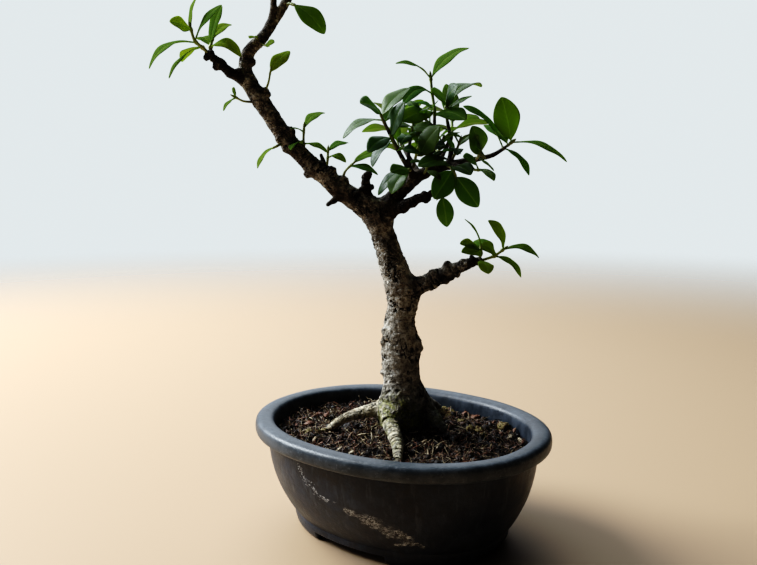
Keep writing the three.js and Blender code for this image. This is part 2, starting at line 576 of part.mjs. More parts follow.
function soilSolid(tree) {
  const sides = 30;
  const skin = POT.wall + CLEAR + 0.2; // the facets of the wall's coarser outline stand a little inside it
  const side = [15, 23, 34, SOIL.rim - 2].map((z) => ovalRing(bellyInset(z) + skin, z, sides));
  const bottom = ovalRing(bellyInset(POT.floor) + skin + 4.5, POT.floor + SOIL.floorGap, sides);
  const edge = ovalRing(bellyInset(SOIL.rim) + skin, 0, sides);
  const top = [1, 0.82, 0.64, 0.46, 0.28, 0.12].map((share) =>
    edge.map(({ x, y }) => {
      const [px, py] = [TRUNK_FOOT.x + (x - TRUNK_FOOT.x) * share, TRUNK_FOOT.y + (y - TRUNK_FOOT.y) * share];
      return new THREE.Vector3(px, py, soilHeight(px, py));
    }),
  );
  const pockets = [-1, 1].map((which) => {
    const size = DRAIN.meshSide + 2 * CLEAR;
    const pocket = new THREE.BoxGeometry(size, size, 2 * (DRAIN.meshThick + 2 * CLEAR));
    pocket.translate((which * DRAIN.apart) / 2, 0, POT.floor);
    return solid(pocket);
  });
  return largest(wasm.Manifold.difference([loft([bottom, ...side, ...top]), tree, ...pockets]));
}

// ---- The tree --------------------------------------------------------------------------------------------

function treeSolid(grow = 0) {
  const limbs = Object.entries(LIMBS).map(([name, places]) =>
    limb(places, LIMB_SIDES[name] ?? TWIG_SIDES, grow),
  );
  return largest(wasm.Manifold.union([...limbs, ...KNOTS.map((knot) => ball(knot, grow))]));
}

// Half the width of a blade at a share along it: a short stalk, then a long oval, widest before its middle.
function halfWidth(along, width) {
  if (along <= LEAF.stalk) return LEAF.petiole;
  const blade = (along - LEAF.stalk) / (1 - LEAF.stalk);
  const oval = (width / 2) * Math.max(0, Math.sin(Math.PI * blade ** LEAF.blunt)) ** LEAF.full;
  return Math.max(LEAF.tip, oval);
}

// A thin arched blade from base to tip, its upper side turned to face.
function leaf(base, tip, width, face, arch) {
  const reach = tip.clone().sub(base);
  const length = reach.length();
  const up = face.clone().addScaledVector(reach, -face.dot(reach) / length ** 2).normalize();
  const curve = new THREE.QuadraticBezierCurve3(
    base,
    base.clone().lerp(tip, 0.5).addScaledVector(up, 2 * arch * length),
    tip,
  );
  const rings = LEAF_STATIONS.map((along) => {
    const centre = curve.getPoint(along);
    const tangent = curve.getTangent(along);
    const side = new THREE.Vector3().crossVectors(tangent, up).normalize();
    const normal = new THREE.Vector3().crossVectors(side, tangent);
    const half = halfWidth(along, width);
    const point = (across, raised) =>
      centre.clone().addScaledVector(side, across * half).addScaledVector(normal, (raised * LEAF.thick) / 2);
    return [point(-1, 1), point(1, 1), point(1, -1), point(-1, -1)];
  });
  return loft(rings);
}

// The point of the stems that lies nearest to a leaf's base, where the leaf joins them.
function jointOn(stems, base) {
  const along = stems.flatMap((places) => limbCurve(places).getPoints(8 * places.length).slice(0, -2));
  return along.reduce((best, point) => (point.distanceTo(base) < best.distanceTo(base) ? point : best));
}

function shootSolid({ stems, leaves }, tree) {
  const parts = stems.map((places) => limb(places, STEM_SIDES));
  for (const [base, tip, width, [right, up, near], arch] of leaves)
    parts.push(leaf(jointOn(stems, at(base)), at(tip), width, fromView(right, -near, up), arch));
  return largest(wasm.Manifold.union(parts).subtract(tree));
}

// A shoot whose leaves stand round its stem by rule.
function regularShootSolid([places, count, length, firstAngle], tree) {
  const curve = limbCurve(places);
  const parts = [limb(places, STEM_SIDES)];
  for (let i = 0; i < count; i++) {
    const share = i / (count - 1);
    const where = THREE.MathUtils.lerp(REGULAR.lowest, REGULAR.highest, share);
    const base = curve.getPoint(where);
    const axis = curve.getTangent(where);
    const turn = THREE.MathUtils.degToRad(firstAngle + i * REGULAR.goldenAngle);
    const out = new THREE.Vector3(Math.cos(turn), Math.sin(turn), 0).projectOnPlane(axis);
    out.addScaledVector(axis, REGULAR.lean + share * REGULAR.rise).normalize();
    const long = length * (0.75 + 0.25 * Math.sin(Math.PI * (0.25 + 0.6 * share)));
    const tip = base.clone().addScaledVector(out, long);
    const face = axis.clone().multiplyScalar(0.5).add(new THREE.Vector3(0, 0, REGULAR.upward));
    parts.push(leaf(base, tip, long * REGULAR.widthShare, face, REGULAR.arch));
  }
  return largest(wasm.Manifold.union(parts).subtract(tree));
}

// ---- The whole -------------------------------------------------------------------------------------------

const MATERIALS = {
  pot: material(0x2b2c2e, 0.5),
  soil: material(0x2a1c14, 0.95),
  bark: material(0x6b5f4e, 0.9),
  leaf: material(0x2f6b22, 0.4),
  mesh: material(0x15191a, 0.6),
};

const roomForTree = treeSolid(CLEAR);
const plant = new THREE.Group();
plant.add(mesh('pot', potWallSolid(), MATERIALS.pot));
plant.add(mesh('pot_base', potBaseSolid(), MATERIALS.pot));
for (const [name, foot] of potFeet()) plant.add(mesh(name, foot, MATERIALS.pot));
plant.add(mesh('soil', soilSolid(roomForTree), MATERIALS.soil));
plant.add(mesh('drain_mesh_left', drainMeshSolid(-1), MATERIALS.mesh));
plant.add(mesh('drain_mesh_right', drainMeshSolid(1), MATERIALS.mesh));
plant.add(mesh('tree', treeSolid(), MATERIALS.bark));
for (const [name, shoot] of Object.entries(SHOOTS))
  plant.add(mesh(name, shootSolid(shoot, roomForTree), MATERIALS.leaf));
for (const [name, shoot] of Object.entries(REGULAR_SHOOTS))
  plant.add(mesh(name, regularShootSolid(shoot, roomForTree), MATERIALS.leaf));

// The origin is under the middle of the whole plant's box, at the height of the pot's feet.
const middle = new THREE.Box3().setFromObject(plant).getCenter(new THREE.Vector3());
plant.position.set(-middle.x, -middle.y, 0);

const bonsai = new THREE.Group();
bonsai.add(plant);

export default bonsai;
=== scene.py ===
# A small bonsai tree growing in an oval stoneware pot: its looks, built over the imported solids. Shapes are
# worked out in mm from the middle of the pot's foot, and meshOf turns them to metres in the shared frame.
import math

import bpy
import numpy as np
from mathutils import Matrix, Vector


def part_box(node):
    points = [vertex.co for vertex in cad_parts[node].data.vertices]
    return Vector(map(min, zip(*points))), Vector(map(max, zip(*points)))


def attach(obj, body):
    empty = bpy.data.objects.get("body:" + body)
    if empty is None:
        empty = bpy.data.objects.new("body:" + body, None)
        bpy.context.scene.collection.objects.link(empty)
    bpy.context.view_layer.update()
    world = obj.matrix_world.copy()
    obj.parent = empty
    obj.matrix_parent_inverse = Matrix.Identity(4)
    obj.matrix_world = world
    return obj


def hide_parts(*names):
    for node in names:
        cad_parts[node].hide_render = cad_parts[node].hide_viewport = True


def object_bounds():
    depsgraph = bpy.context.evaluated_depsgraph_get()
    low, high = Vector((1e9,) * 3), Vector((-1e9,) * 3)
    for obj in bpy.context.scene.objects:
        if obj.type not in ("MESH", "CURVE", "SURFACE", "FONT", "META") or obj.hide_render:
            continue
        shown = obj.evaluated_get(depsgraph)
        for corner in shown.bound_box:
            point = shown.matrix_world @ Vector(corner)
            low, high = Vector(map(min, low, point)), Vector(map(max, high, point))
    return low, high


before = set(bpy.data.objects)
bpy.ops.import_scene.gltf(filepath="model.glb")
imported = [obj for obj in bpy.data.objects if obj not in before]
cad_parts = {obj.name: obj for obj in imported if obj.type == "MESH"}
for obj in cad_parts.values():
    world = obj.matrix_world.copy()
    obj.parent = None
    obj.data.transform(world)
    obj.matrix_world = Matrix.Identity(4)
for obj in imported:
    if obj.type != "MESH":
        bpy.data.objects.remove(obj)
cadBox = [list(corner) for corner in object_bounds()]
potMiddle = np.append(np.array([list(corner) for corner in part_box("pot")]).mean(axis=0)[:2], 0.0)
print("frame loaded")

# The plant is laid out as it is seen from one side. A place is [px, py, near]: pixels to the right and down
# in a picture of this width and middle, and how many mm it stands nearer to the eye than the trunk's foot.
seen = {"focal": 800, "width": 757, "middle": (378.5, 282.5), "tilt": math.radians(7.7),
        "turn": math.radians(37), "eyeHeight": 207, "potAcross": 12, "potAway": 455, "trunkAway": 461}


# Turns directions given as to the right, away and up, as seen, to the part's own axes.
def turned(directions):
    across, away, up = np.moveaxis(np.asarray(directions, float), -1, 0)
    c, s = math.cos(seen["turn"]), math.sin(seen["turn"])
    return np.stack([across * c - away * s, across * s + away * c, up], axis=-1)


# Points for places in the picture: each pixel's ray, cut where it is as far away as the place is.
def placed(places):
    px, py, near = np.moveaxis(np.asarray(places, float)[..., :3], -1, 0)
    right, up = (px - seen["middle"][0]) / seen["focal"], (seen["middle"][1] - py) / seen["focal"]
    c, s = math.cos(seen["tilt"]), math.sin(seen["tilt"])
    away = seen["trunkAway"] - near
    reach = away / (c + up * s)
    return turned(np.stack([reach * right - seen["potAcross"], away - seen["potAway"],
                            seen["eyeHeight"] + reach * (up * c - s)], axis=-1))


def unit(vectors):
    return vectors / np.maximum(np.linalg.norm(vectors, axis=-1, keepdims=True), 1e-9)


# A smooth step from 0 at low to 1 at high, by 3t^2 - 2t^3.
def eased(low, high, x):
    t = np.clip((x - low) / (high - low), 0, 1)
    return t * t * (3 - 2 * t)


# A number between the two of a pair, at a share of the way.
def between(pair, share):
    return pair[0] + (pair[1] - pair[0]) * share


# A number from -1 to 1 for each whole-numbered cell, the same each run.
def cellValue(cell, seed):
    mixed = cell[..., 0] * 73856093 ^ cell[..., 1] * 19349663 ^ cell[..., 2] * 83492791
    mixed = mixed ^ (seed * 2654435 + 97)
    mixed = (mixed ^ (mixed >> 13)) * 1274126177 & 0x7FFFFFFF
    mixed = (mixed ^ (mixed >> 15)) * 97531 & 0x7FFFFFFF
    return (mixed >> 7 & 0xFFFF) / 32767.5 - 1


# Smooth noise from -1 to 1: cell values at the corners of unit cubes, eased between them.
def smoothNoise(points, seed):
    cell = np.floor(points).astype(np.int64)
    part = points - cell
    ease = part * part * (3 - 2 * part)
    total = np.zeros(len(points))
    for corner in np.ndindex(2, 2, 2):
        weight = np.prod(np.where(corner, ease, 1 - ease), axis=1)
        total += weight * cellValue(cell + np.array(corner), seed)
    return total


# Several octaves of smooth noise, each half as large in size and height as the last.
def roughNoise(points, seed, octaves=3):
    return sum(smoothNoise(points * 2 ** k + 7.3 * k, seed + k) / 2 ** k for k in range(octaves)) / 1.6


# Distances to the nearest and second nearest of one jittered spot per unit cube, and the nearest one's value.
def spotNoise(points, seed):
    cell = np.floor(points).astype(np.int64)
    nearest, second, value = np.full(len(points), 9.0), np.full(len(points), 9.0), np.zeros(len(points))
    for step in np.ndindex(3, 3, 3):
        there = cell + np.array(step) - 1
        spot = there + 0.5 + 0.42 * np.stack([cellValue(there, seed + k) for k in (1, 2, 3)], axis=-1)
        far = np.linalg.norm(points - spot, axis=1)
        closer = far < nearest
        second = np.where(closer, nearest, np.minimum(second, far))
        value = np.where(closer, cellValue(there, seed + 4), value)
        nearest = np.where(closer, far, nearest)
    return nearest, second, value


# Quads between neighbouring rows of a grid of points that goes round from its last column to its first.
def gridFaces(rows, columns):
    i, j = np.meshgrid(np.arange(rows - 1) * columns, np.arange(columns), indexing="ij")
    k = (j + 1) % columns
    return np.stack([i + j, i + k, i + columns + k, i + columns + j], axis=-1).reshape(-1, 4)


# Triangles from one row of a grid to a pole, facing as the grid does at its start or at its end.
def poleFaces(start, columns, pole, atStart):
    j = np.arange(columns)
    order = [np.full(columns, pole), start + (j + 1) % columns, start + j]
    return np.stack(order if atStart else order[::-1], axis=-1)


# A closed skin: a grid's quads, then triangles to the two poles that follow its points.
def closedFaces(rows, columns):
    last = rows * columns
    return [gridFaces(rows, columns), np.vstack([poleFaces(0, columns, last, True),
                                                 poleFaces(last - columns, columns, last + 1, False)])]


# The same sets of faces for each of some copies of a shape with so many points.
def repeated(sets, copies, size):
    step = np.arange(copies)[:, None, None] * size
    return [(faces[None] + step).reshape(-1, faces.shape[1]) for faces in sets]


# Puts several shapes' points and sets of faces into one.
def joined(shapes):
    points, faces, count = [], [], 0
    for some, sets in shapes:
        faces += [rows + count for rows in sets]
        points.append(some)
        count += len(some)
    return np.vstack(points), faces


# The unit normal at each point: the sum of the cross products of its faces' diagonals.
def pointNormals(points, quads):
    across = np.cross(points[quads[:, 2]] - points[quads[:, 0]], points[quads[:, 3]] - points[quads[:, 1]])
    total = [np.bincount(quads.ravel(), np.repeat(across[:, k], 4), len(points)) for k in range(3)]
    return unit(np.stack(total, axis=-1))


# Makes an object from arrays: points in mm, faces as rows of 3 or 4, and named values at the points. What
# belongs to the part is kept just inside the box of its solids.
def meshOf(name, points, faces, material, values=None, inside=True):
    if inside:
        low, high = (np.array(cadBox) - potMiddle) * 1000
        points = np.clip(points, low + 0.05, high - 0.05)
    mesh = bpy.data.meshes.new(name)
    mesh.vertices.add(len(points))
    mesh.vertices.foreach_set("co", (points / 1000 + potMiddle).astype(np.float32).ravel())
    sizes = np.concatenate([np.full(len(rows), rows.shape[1]) for rows in faces])
    corners = np.concatenate([rows.ravel() for rows in faces])
    mesh.loops.add(len(corners))
    mesh.loops.foreach_set("vertex_index", corners.astype(np.int32))
    mesh.polygons.add(len(sizes))
    mesh.polygons.foreach_set("loop_start", np.append(0, np.cumsum(sizes)[:-1]).astype(np.int32))
    mesh.update(calc_edges=True)
    mesh.validate()
    mesh.shade_smooth()
    for key, numbers in (values or {}).items():
        layer = mesh.attributes.new(key, "FLOAT", "POINT")
        layer.data.foreach_set("value", numbers.astype(np.float32).ravel())
    mesh.materials.append(material)
    return linked(bpy.data.objects.new(name, mesh))


# Puts a thing into the scene.
def linked(thing):
    bpy.context.scene.collection.objects.link(thing)
    return thing


# The piece rides with the whole object and stands for the named solids. The slot is not used.
def finished(thing, slot, *nodes):
    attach(thing, "root")
    if nodes:
        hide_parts(*nodes)
    print(f"{thing.name}: {len(thing.data.polygons)} faces")


# Makes the modifiers' result the object's own mesh.
def applyModifiers(thing):
    bpy.context.view_layer.update()
    shaped = bpy.data.meshes.new_from_object(thing.evaluated_get(bpy.context.evaluated_depsgraph_get()))
    thing.modifiers.clear()
    thing.data = shaped


# A node in a material: kind is Blender's name for it, settings are its options, and inputs are numbers,
# colours or other nodes' outputs for its sockets.
def node(material, kind, inputs=None, **settings):
    made = material.node_tree.nodes.new("ShaderNode" + kind)
    for key, value in settings.items():
        setattr(made, key, value)
    for key, value in (inputs or {}).items():
        socket = made.inputs[key]
        if isinstance(value, bpy.types.NodeSocket):
            material.node_tree.links.new(value, socket)
        else:
            socket.default_value = (*value, 1) if socket.type == "RGBA" else value
    return made


# A material with no nodes yet, and then its last node.
def newMaterial(name):
    material = bpy.data.materials.new(name)
    material.use_nodes = True
    material.node_tree.nodes.clear()
    return material


def endWith(material, shader):
    node(material, "OutputMaterial", {"Surface": shader.outputs[0]})
    return material


# One of the mesh's named values.
def valueOf(material, name):
    return node(material, "Attribute", attribute_name=name).outputs["Fac"]


def place(material):
    return node(material, "TexCoord").outputs["Object"]


def mapped(material, vector, **settings):
    return node(material, "Mapping", {"Vector": vector, **settings}).outputs["Vector"]


def noiseOf(material, scale, detail, roughness, vector=None):
    return node(material, "TexNoise", {"Vector": vector or place(material), "Scale": scale, "Detail": detail,
                                       "Roughness": roughness}).outputs["Fac"]


def math2(material, operation, a, b=0.0, clamp=False):
    return node(material, "Math", {0: a, 1: b}, operation=operation, use_clamp=clamp).outputs[0]


def times(material, a, b):
    return math2(material, "MULTIPLY", a, b)


def plus(material, a, b, clamp=False):
    return math2(material, "ADD", a, b, clamp)


# Carries numbers from low..high to 0..1, or to the two numbers of out, with a smooth start and end.
def spread(material, value, low, high, out=(0.0, 1.0)):
    return node(material, "MapRange", {"Value": value, "From Min": low, "From Max": high, "To Min": out[0],
                                       "To Max": out[1]}, interpolation_type="SMOOTHSTEP").outputs["Result"]


# Thin lines of this width where a number passes its middle, one half.
def crossings(material, value, width):
    off = math2(material, "ABSOLUTE", math2(material, "SUBTRACT", value, 0.5))
    return spread(material, off, 0.0, width, (1, 0))


def mixed(material, factor, a, b):
    return node(material, "Mix", {0: factor, 6: a, 7: b}, data_type="RGBA").outputs[2]


# Lays a colour over what is there: from none where the value is low to this much where it is high.
def coat(material, base, value, low, high, most, colour):
    return mixed(material, spread(material, value, low, high, (0, most)), base, colour)


def ramp(material, factor, *stops):
    made = node(material, "ValToRGB", {"Fac": factor})
    while len(made.color_ramp.elements) < len(stops):
        made.color_ramp.elements.new(0.5)
    for element, (position, colour) in zip(made.color_ramp.elements, stops):
        element.position, element.color = position, (*colour, 1)
    return made.outputs["Color"]


def bumped(material, height, strength, distance, normal=None):
    inputs = {"Height": height, "Strength": strength, "Distance": distance}
    return node(material, "Bump", {**inputs, **({"Normal": normal} if normal else {})}).outputs["Normal"]


# Blender's own shader for a solid surface: its colour, roughness, strength of mirroring, and relief.
def skin(material, base, rough, specular=0.5, normal=None):
    inputs = {"Base Color": base, "Roughness": rough, "Specular IOR Level": specular}
    return node(material, "BsdfPrincipled", {**inputs, **({"Normal": normal} if normal else {})})


# The pot is an oval, a superellipse in plan, drawn in by inset at each height.
pot = {"halfLength": 90, "halfWidth": 73, "height": 65, "power": 2.15, "wall": 4, "wallInset": 7.6,
       "lipBottom": 55.5, "ledge": 9, "ledgeInset": 22.6, "bellyPower": 2.2, "floor": 11, "columns": 320,
       "uneven": 0.35, "frontGap": 24, "endGap": 17, "footTop": 5.6, "footColumns": 70,
       "drainRadius": 7, "drainApart": 64, "drainColumns": 48, "drainEnds": (2.0, 14.0)}
# Each mark: its line on the wall, and how far it reaches.
potMarks = {"scratch": [([[-21.2, -63.6, 49.5], [-19, -63.6, 45.5], [-15.9, -63.5, 41.7],
                          [-11.3, -63.8, 40.9], [-10.4, -63.3, 37.9], [-6.7, -63.1, 36.3],
                          [-1.1, -63.1, 35.7], [1.8, -63.2, 35.9]],
                         1.5)],
            "stain": [([[10.1, -61.7, 32.1], [16.1, -60.8, 30.9], [21.7, -59.6, 29.4]], 2.2),
                      ([[21.7, -59.6, 28.6], [29, -57.3, 26.4], [35, -54, 23.6], [40.4, -50.1, 20.6]], 4.6),
                      ([[33.3, -49.7, 14.8], [44.9, -45.7, 17.7], [46.7, -42.7, 14.9]], 1.2)],
            "stainTurn": (0.0, math.radians(21), math.radians(-27))}


# |cos|^(2/power) and |sin|^(2/power) with their signs, times the half sizes less the inset.
def ovalRing(inset, z, turn):
    c, s = np.cos(turn), np.sin(turn)
    x = (pot["halfLength"] - inset) * np.sign(c) * np.abs(c) ** (2 / pot["power"])
    y = (pot["halfWidth"] - inset) * np.sign(s) * np.abs(s) ** (2 / pot["power"])
    return np.stack(np.broadcast_arrays(x, y, z), axis=-1).astype(float)


# How far out points lie: 1 on the oval that is inset by so much, and less within it.
def farOut(points, inset):
    x = np.abs(points[:, 0]) / (pot["halfLength"] - inset)
    y = np.abs(points[:, 1]) / (pot["halfWidth"] - inset)
    return (x ** pot["power"] + y ** pot["power"]) ** (1 / pot["power"])


# How far in the outer wall stands at a height: a power curve from the lip down to the ledge.
def bellyInset(z):
    down = (pot["lipBottom"] - np.asarray(z, float)) / (pot["lipBottom"] - pot["ledge"])
    return between((pot["wallInset"], pot["ledgeInset"]), np.clip(down, 0, 1) ** pot["bellyPower"])


# So many angles, evenly all the way round.
def circle(columns):
    return np.linspace(0, 2 * math.pi, columns, endpoint=False)


# How near points lie to a broken line: 1 on it, falling as a bell curve over reach.
def nearLine(points, line, reach):
    line = np.asarray(line, float)
    best = np.full(len(points), 1e9)
    for a, b in zip(line[:-1], line[1:]):
        t = np.clip((points - a) @ (b - a) / ((b - a) @ (b - a)), 0, 1)
        best = np.minimum(best, np.linalg.norm(points - a - t[:, None] * (b - a), axis=1))
    return np.exp(-(best / reach) ** 2)


# One closed surface: under the floor, up the outer wall, over the lip, down inside and across the floor. Each
# corner of its outline is cut, to points a quarter and three quarters along.
def potBody():
    up = np.linspace(pot["ledge"] + 0.7, pot["lipBottom"] - 1.6, 26)
    down = np.linspace(pot["height"] - 6, pot["floor"] + 3, 22)
    under = [[60, 5], [48, 5], [37, 5], [30, 5], [25, 5], [23.5, 5]]
    ledge = [[23.0, 5.1], [22.8, 6.4], [22.62, 7.9], [22.68, 8.7], [22.82, 9.2]]
    belly = np.column_stack([bellyInset(up) + 0.25 * (1 - eased(9, 13, up)), up])
    lip = [[7.9, 54.9], [7.5, 55.3], [6.2, 55.5], [3.2, 55.6], [1.2, 56.2], [0.25, 57.6], [0, 59.5],
           [0.1, 61.6], [0.5, 63.2], [1.5, 64.4], [3.1, 64.95], [5.4, 65.0], [8, 64.8], [9.8, 64.2],
           [10.9, 63.1], [11.4, 61.6]]
    inside = np.column_stack([np.maximum(bellyInset(down) + pot["wall"], 11.5), down])
    floor = [[bellyInset(pot["floor"]) + pot["wall"] + 2, 12], [30, 11], [45, 11], [60, 11]]
    line = np.vstack([under, ledge, belly, lip, inside, floor])
    cut = np.stack([0.75 * line[:-1] + 0.25 * line[1:], 0.25 * line[:-1] + 0.75 * line[1:]], axis=1)
    line = np.vstack([line[:1], cut.reshape(-1, 2), line[-1:]])
    flat = ovalRing(line[:, :1], line[:, 1:], circle(pot["columns"])[None, :]).reshape(-1, 3)
    # Handmade: broad hollows and ripples, only ever inwards, on the wall and lip.
    swell = 0.5 + 0.5 * roughNoise(flat / np.array([34, 34, 19]), 11)
    ripple = 0.5 + 0.5 * roughNoise(flat / np.array([9, 9, 6]), 17)
    sink = pot["uneven"] * (0.75 * swell + 0.25 * ripple) * eased(5.2, 12, flat[:, 2])
    flat[:, :2] *= (1 - sink / np.maximum(np.linalg.norm(flat[:, :2], axis=1), 20))[:, None]
    flat[:, 2] -= 0.3 * swell * eased(60, 64.5, flat[:, 2])
    return np.vstack([flat, [[0, 0, 5], [0, 0, 11]]]), closedFaces(len(line), pot["columns"])


# A foot: a rounded section of the ring under the base, carried round the oval from one gap to the next. Its
# rows start and end where x or y meets the gap's side, and shrink a little there to round the ends.
def potFoot(signX, signY):
    top = pot["footTop"]
    inset = np.array([30, 27.6, 26.2, 25.2, 24.5, 24, 23.6, 23.3, 23.1, 23, 26, 31, 34.6, 34.4, 34.1, 33.9,
                      33.6, 32.8])
    height = np.array([0, 0, 0.12, 0.5, 1.1, 1.9, 2.9, 3.9, 4.9, top, top, top, top, 4.2, 2.6, 1.2, 0.35, 0])
    low = np.arccos(np.clip(pot["frontGap"] / (pot["halfLength"] - inset), 0, 1) ** (pot["power"] / 2))
    high = np.arcsin(np.clip(pot["endGap"] / (pot["halfWidth"] - inset), 0, 1) ** (pot["power"] / 2))
    share = np.concatenate([[0, 0, 0.004, 0.012], np.linspace(0.025, 0.975, pot["footColumns"]),
                            [0.988, 0.996, 1, 1]])
    ends = [0.0, 0.82, 0.93, 0.985]
    shrink = np.concatenate([ends, np.ones(pot["footColumns"]), ends[::-1]])
    middle = np.array([28.5, 2.9])
    section = middle + (np.column_stack([inset, height]) - middle) * shrink[:, None, None]
    section[..., 1] = np.where(height > 5, top, section[..., 1])
    points = ovalRing(section[..., 0], section[..., 1], between((low, high), share[:, None]))
    points = points * [signX, signY, 1]
    faces = gridFaces(*points.shape[:2])
    return points.reshape(-1, 3), [faces[:, ::-1] if signX * signY < 0 else faces]


# Near-black stoneware: brown and blue-grey patches, fine pits, a burnished lip that is paler partly from wear
# and partly from a painted sheen, and pale mineral marks.
def stoneware():
    m = newMaterial("stoneware")
    cloud, grain, speck = noiseOf(m, 90, 4, 0.65), noiseOf(m, 1500, 3, 0.7), noiseOf(m, 520, 5, 0.75)
    lip, over, near = valueOf(m, "lip"), valueOf(m, "stain"), valueOf(m, "scratch")
    base = coat(m, (0.0098, 0.0138, 0.0230), noiseOf(m, 22, 4, 0.6), 0.35, 0.68, 1, (0.026, 0.031, 0.043))
    base = coat(m, base, cloud, 0.42, 0.70, 0.7, (0.041, 0.053, 0.077))
    base = coat(m, base, noiseOf(m, 34, 5, 0.7), 0.53, 0.68, 0.35, (0.036, 0.024, 0.016))
    base = coat(m, base, grain, 0.55, 0.8, 0.35, (0.062, 0.065, 0.072))
    # Slip that ran down the wall: noise drawn out upright.
    runs = noiseOf(m, 1.0, 4, 0.65, mapped(m, place(m), Scale=(230, 230, 42)))
    base = coat(m, base, runs, 0.52, 0.70, 0.7, (0.060, 0.072, 0.092))
    # The lip's paler blue-grey is partly burnish wear and partly a painted sheen, standing in for the light
    # that the lip catches.
    wornAndSheen = coat(m, (0.036, 0.045, 0.055), cloud, 0.3, 0.7, 1, (0.088, 0.102, 0.116))
    base = mixed(m, times(m, lip, 0.85), base, wornAndSheen)
    chipped = spread(m, noiseOf(m, 420, 7, 0.82), 0.54, 0.66, (0, 0.55))
    base = mixed(m, times(m, lip, chipped), base, (0.17, 0.19, 0.21))
    scuffed = spread(m, noiseOf(m, 260, 6, 0.8, mapped(m, place(m), Scale=(1, 1, 3))), 0.56, 0.68, (0, 0.6))
    base = mixed(m, times(m, lip, scuffed), base, (0.018, 0.017, 0.016))
    # The mineral stain is noise drawn out along its own slant, thick in the middle and broken at its edges.
    slant = mapped(m, mapped(m, place(m), Rotation=potMarks["stainTurn"]), Scale=(0.3, 1, 1))
    ragged = plus(m, times(m, noiseOf(m, 620, 5, 0.75, slant), 0.6), times(m, speck, 0.4))
    ochre = spread(m, plus(m, ragged, times(m, over, 0.24)), 0.64, 0.82, (0, 0.4))
    base = mixed(m, ochre, base, (0.078, 0.068, 0.058))
    # Pale crusts are the thin lines where two noises pass their middle.
    lines = plus(m, crossings(m, noiseOf(m, 260, 6, 0.8, slant), 0.032),
                 crossings(m, noiseOf(m, 230, 6, 0.85), 0.018), True)
    frayed = plus(m, over, times(m, math2(m, "SUBTRACT", noiseOf(m, 150, 4, 0.7), 0.5), 1.3))
    crust = times(m, lines, spread(m, frayed, 0.25, 0.65))
    crust = times(m, crust, spread(m, noiseOf(m, 120, 3, 0.6), 0.38, 0.56, (0.15, 1)))
    base = mixed(m, crust, base, coat(m, (0.16, 0.155, 0.14), speck, 0.4, 0.6, 1, (0.84, 0.85, 0.84)))
    stain = math2(m, "MAXIMUM", ochre, crust)
    # The scratches are such lines too, in patches, round a pale core.
    vein = times(m, crossings(m, noiseOf(m, 190, 5, 0.75, slant), 0.016),
                 spread(m, noiseOf(m, 330, 2, 0.5), 0.44, 0.54))
    core = times(m, spread(m, near, 0.72, 0.9), spread(m, noiseOf(m, 260, 4, 0.7), 0.50, 0.60))
    scratch = math2(m, "MAXIMUM", times(m, vein, spread(m, near, 0.03, 0.25)), core)
    base = mixed(m, scratch, base, (0.74, 0.78, 0.82))
    dust = times(m, spread(m, noiseOf(m, 48, 6, 0.75), 0.56, 0.76, (0, 0.5)), spread(m, speck, 0.5, 0.62))
    base = mixed(m, dust, base, (0.15, 0.125, 0.10))
    rough = math2(m, "SUBTRACT", spread(m, cloud, 0.3, 0.75, (0.33, 0.50)), times(m, lip, 0.03))
    rough = plus(m, rough, times(m, stain, 0.3), True)
    normal = bumped(m, noiseOf(m, 300, 4, 0.6), 0.25, 0.0009)
    normal = bumped(m, plus(m, grain, stain), 0.3, 0.0003, normal)
    return endWith(m, skin(m, base, rough, 0.32, normal))


# Where the pot is marked, and where it is worn and given a painted sheen: on the lip, and inside less than
# outside.
def potValues(points):
    marks = {key: np.max([nearLine(points, line, reach) for line, reach in potMarks[key]], axis=0)
             for key in ("stain", "scratch")}
    outside = 0.4 + 0.6 * eased(0.86, 0.9, farOut(points, 0))
    return {"lip": eased(53.5, 56.5, points[:, 2]) * outside, **marks}


# The pot's body, with its two drain holes, and its four feet.
def makePot():
    material = stoneware()
    points, faces = potBody()
    body = meshOf("stoneware_pot", points, faces, material, potValues(points))
    # Each hole is drilled by an upright column of circles.
    bits, turn, ends = [], circle(pot["drainColumns"]), pot["drainEnds"]
    for side in (-1, 1):
        middle = side * pot["drainApart"] / 2
        x, y = middle + pot["drainRadius"] * np.cos(turn), pot["drainRadius"] * np.sin(turn)
        column = np.vstack([np.column_stack([x, y, np.full(len(turn), z)]) for z in ends]
                           + [[[middle, 0, z] for z in ends]])
        bits.append(meshOf("drill", column, closedFaces(2, len(turn)), material))
        cut = body.modifiers.new("drain", "BOOLEAN")
        cut.operation, cut.solver, cut.object = "DIFFERENCE", "EXACT", bits[-1]
    applyModifiers(body)
    for bit in bits:
        bpy.data.objects.remove(bit)
    finished(body, "pot", "pot", "pot_base")

    points, faces = joined([potFoot(*signs) for signs in ((1, 1), (-1, 1), (-1, -1), (1, -1))])
    finished(meshOf("pot_feet", points, faces, material, potValues(points)), "pot", "pot_foot_front_left",
             "pot_foot_front_right", "pot_foot_back_left", "pot_foot_back_right")


# The soil is level at the wall, heaped at the trunk, and lumpy; crumbs, bark chips and fibres lie on it.
soil = {"rim": 54, "mound": 6.5, "moundReach": 27, "trunkClear": 11, "lump": 0.9, "rows": 130, "columns": 300,
        "floor": 13.2, "wallGap": 0.9, "grit": ((2.8, 9.0, 31), (1.8, 3.4, 37), (0.5, 1.1, 41)),
        "crumbs": 1700, "crumbSize": (0.4, 2.4), "chips": 4600, "chipLength": (1.8, 8.5),
        "fibres": 1300, "fibreLength": (4, 13), "fibreRows": 7, "strandHeight": (5, 9)}
trunkFoot = placed([404, 425, 0])
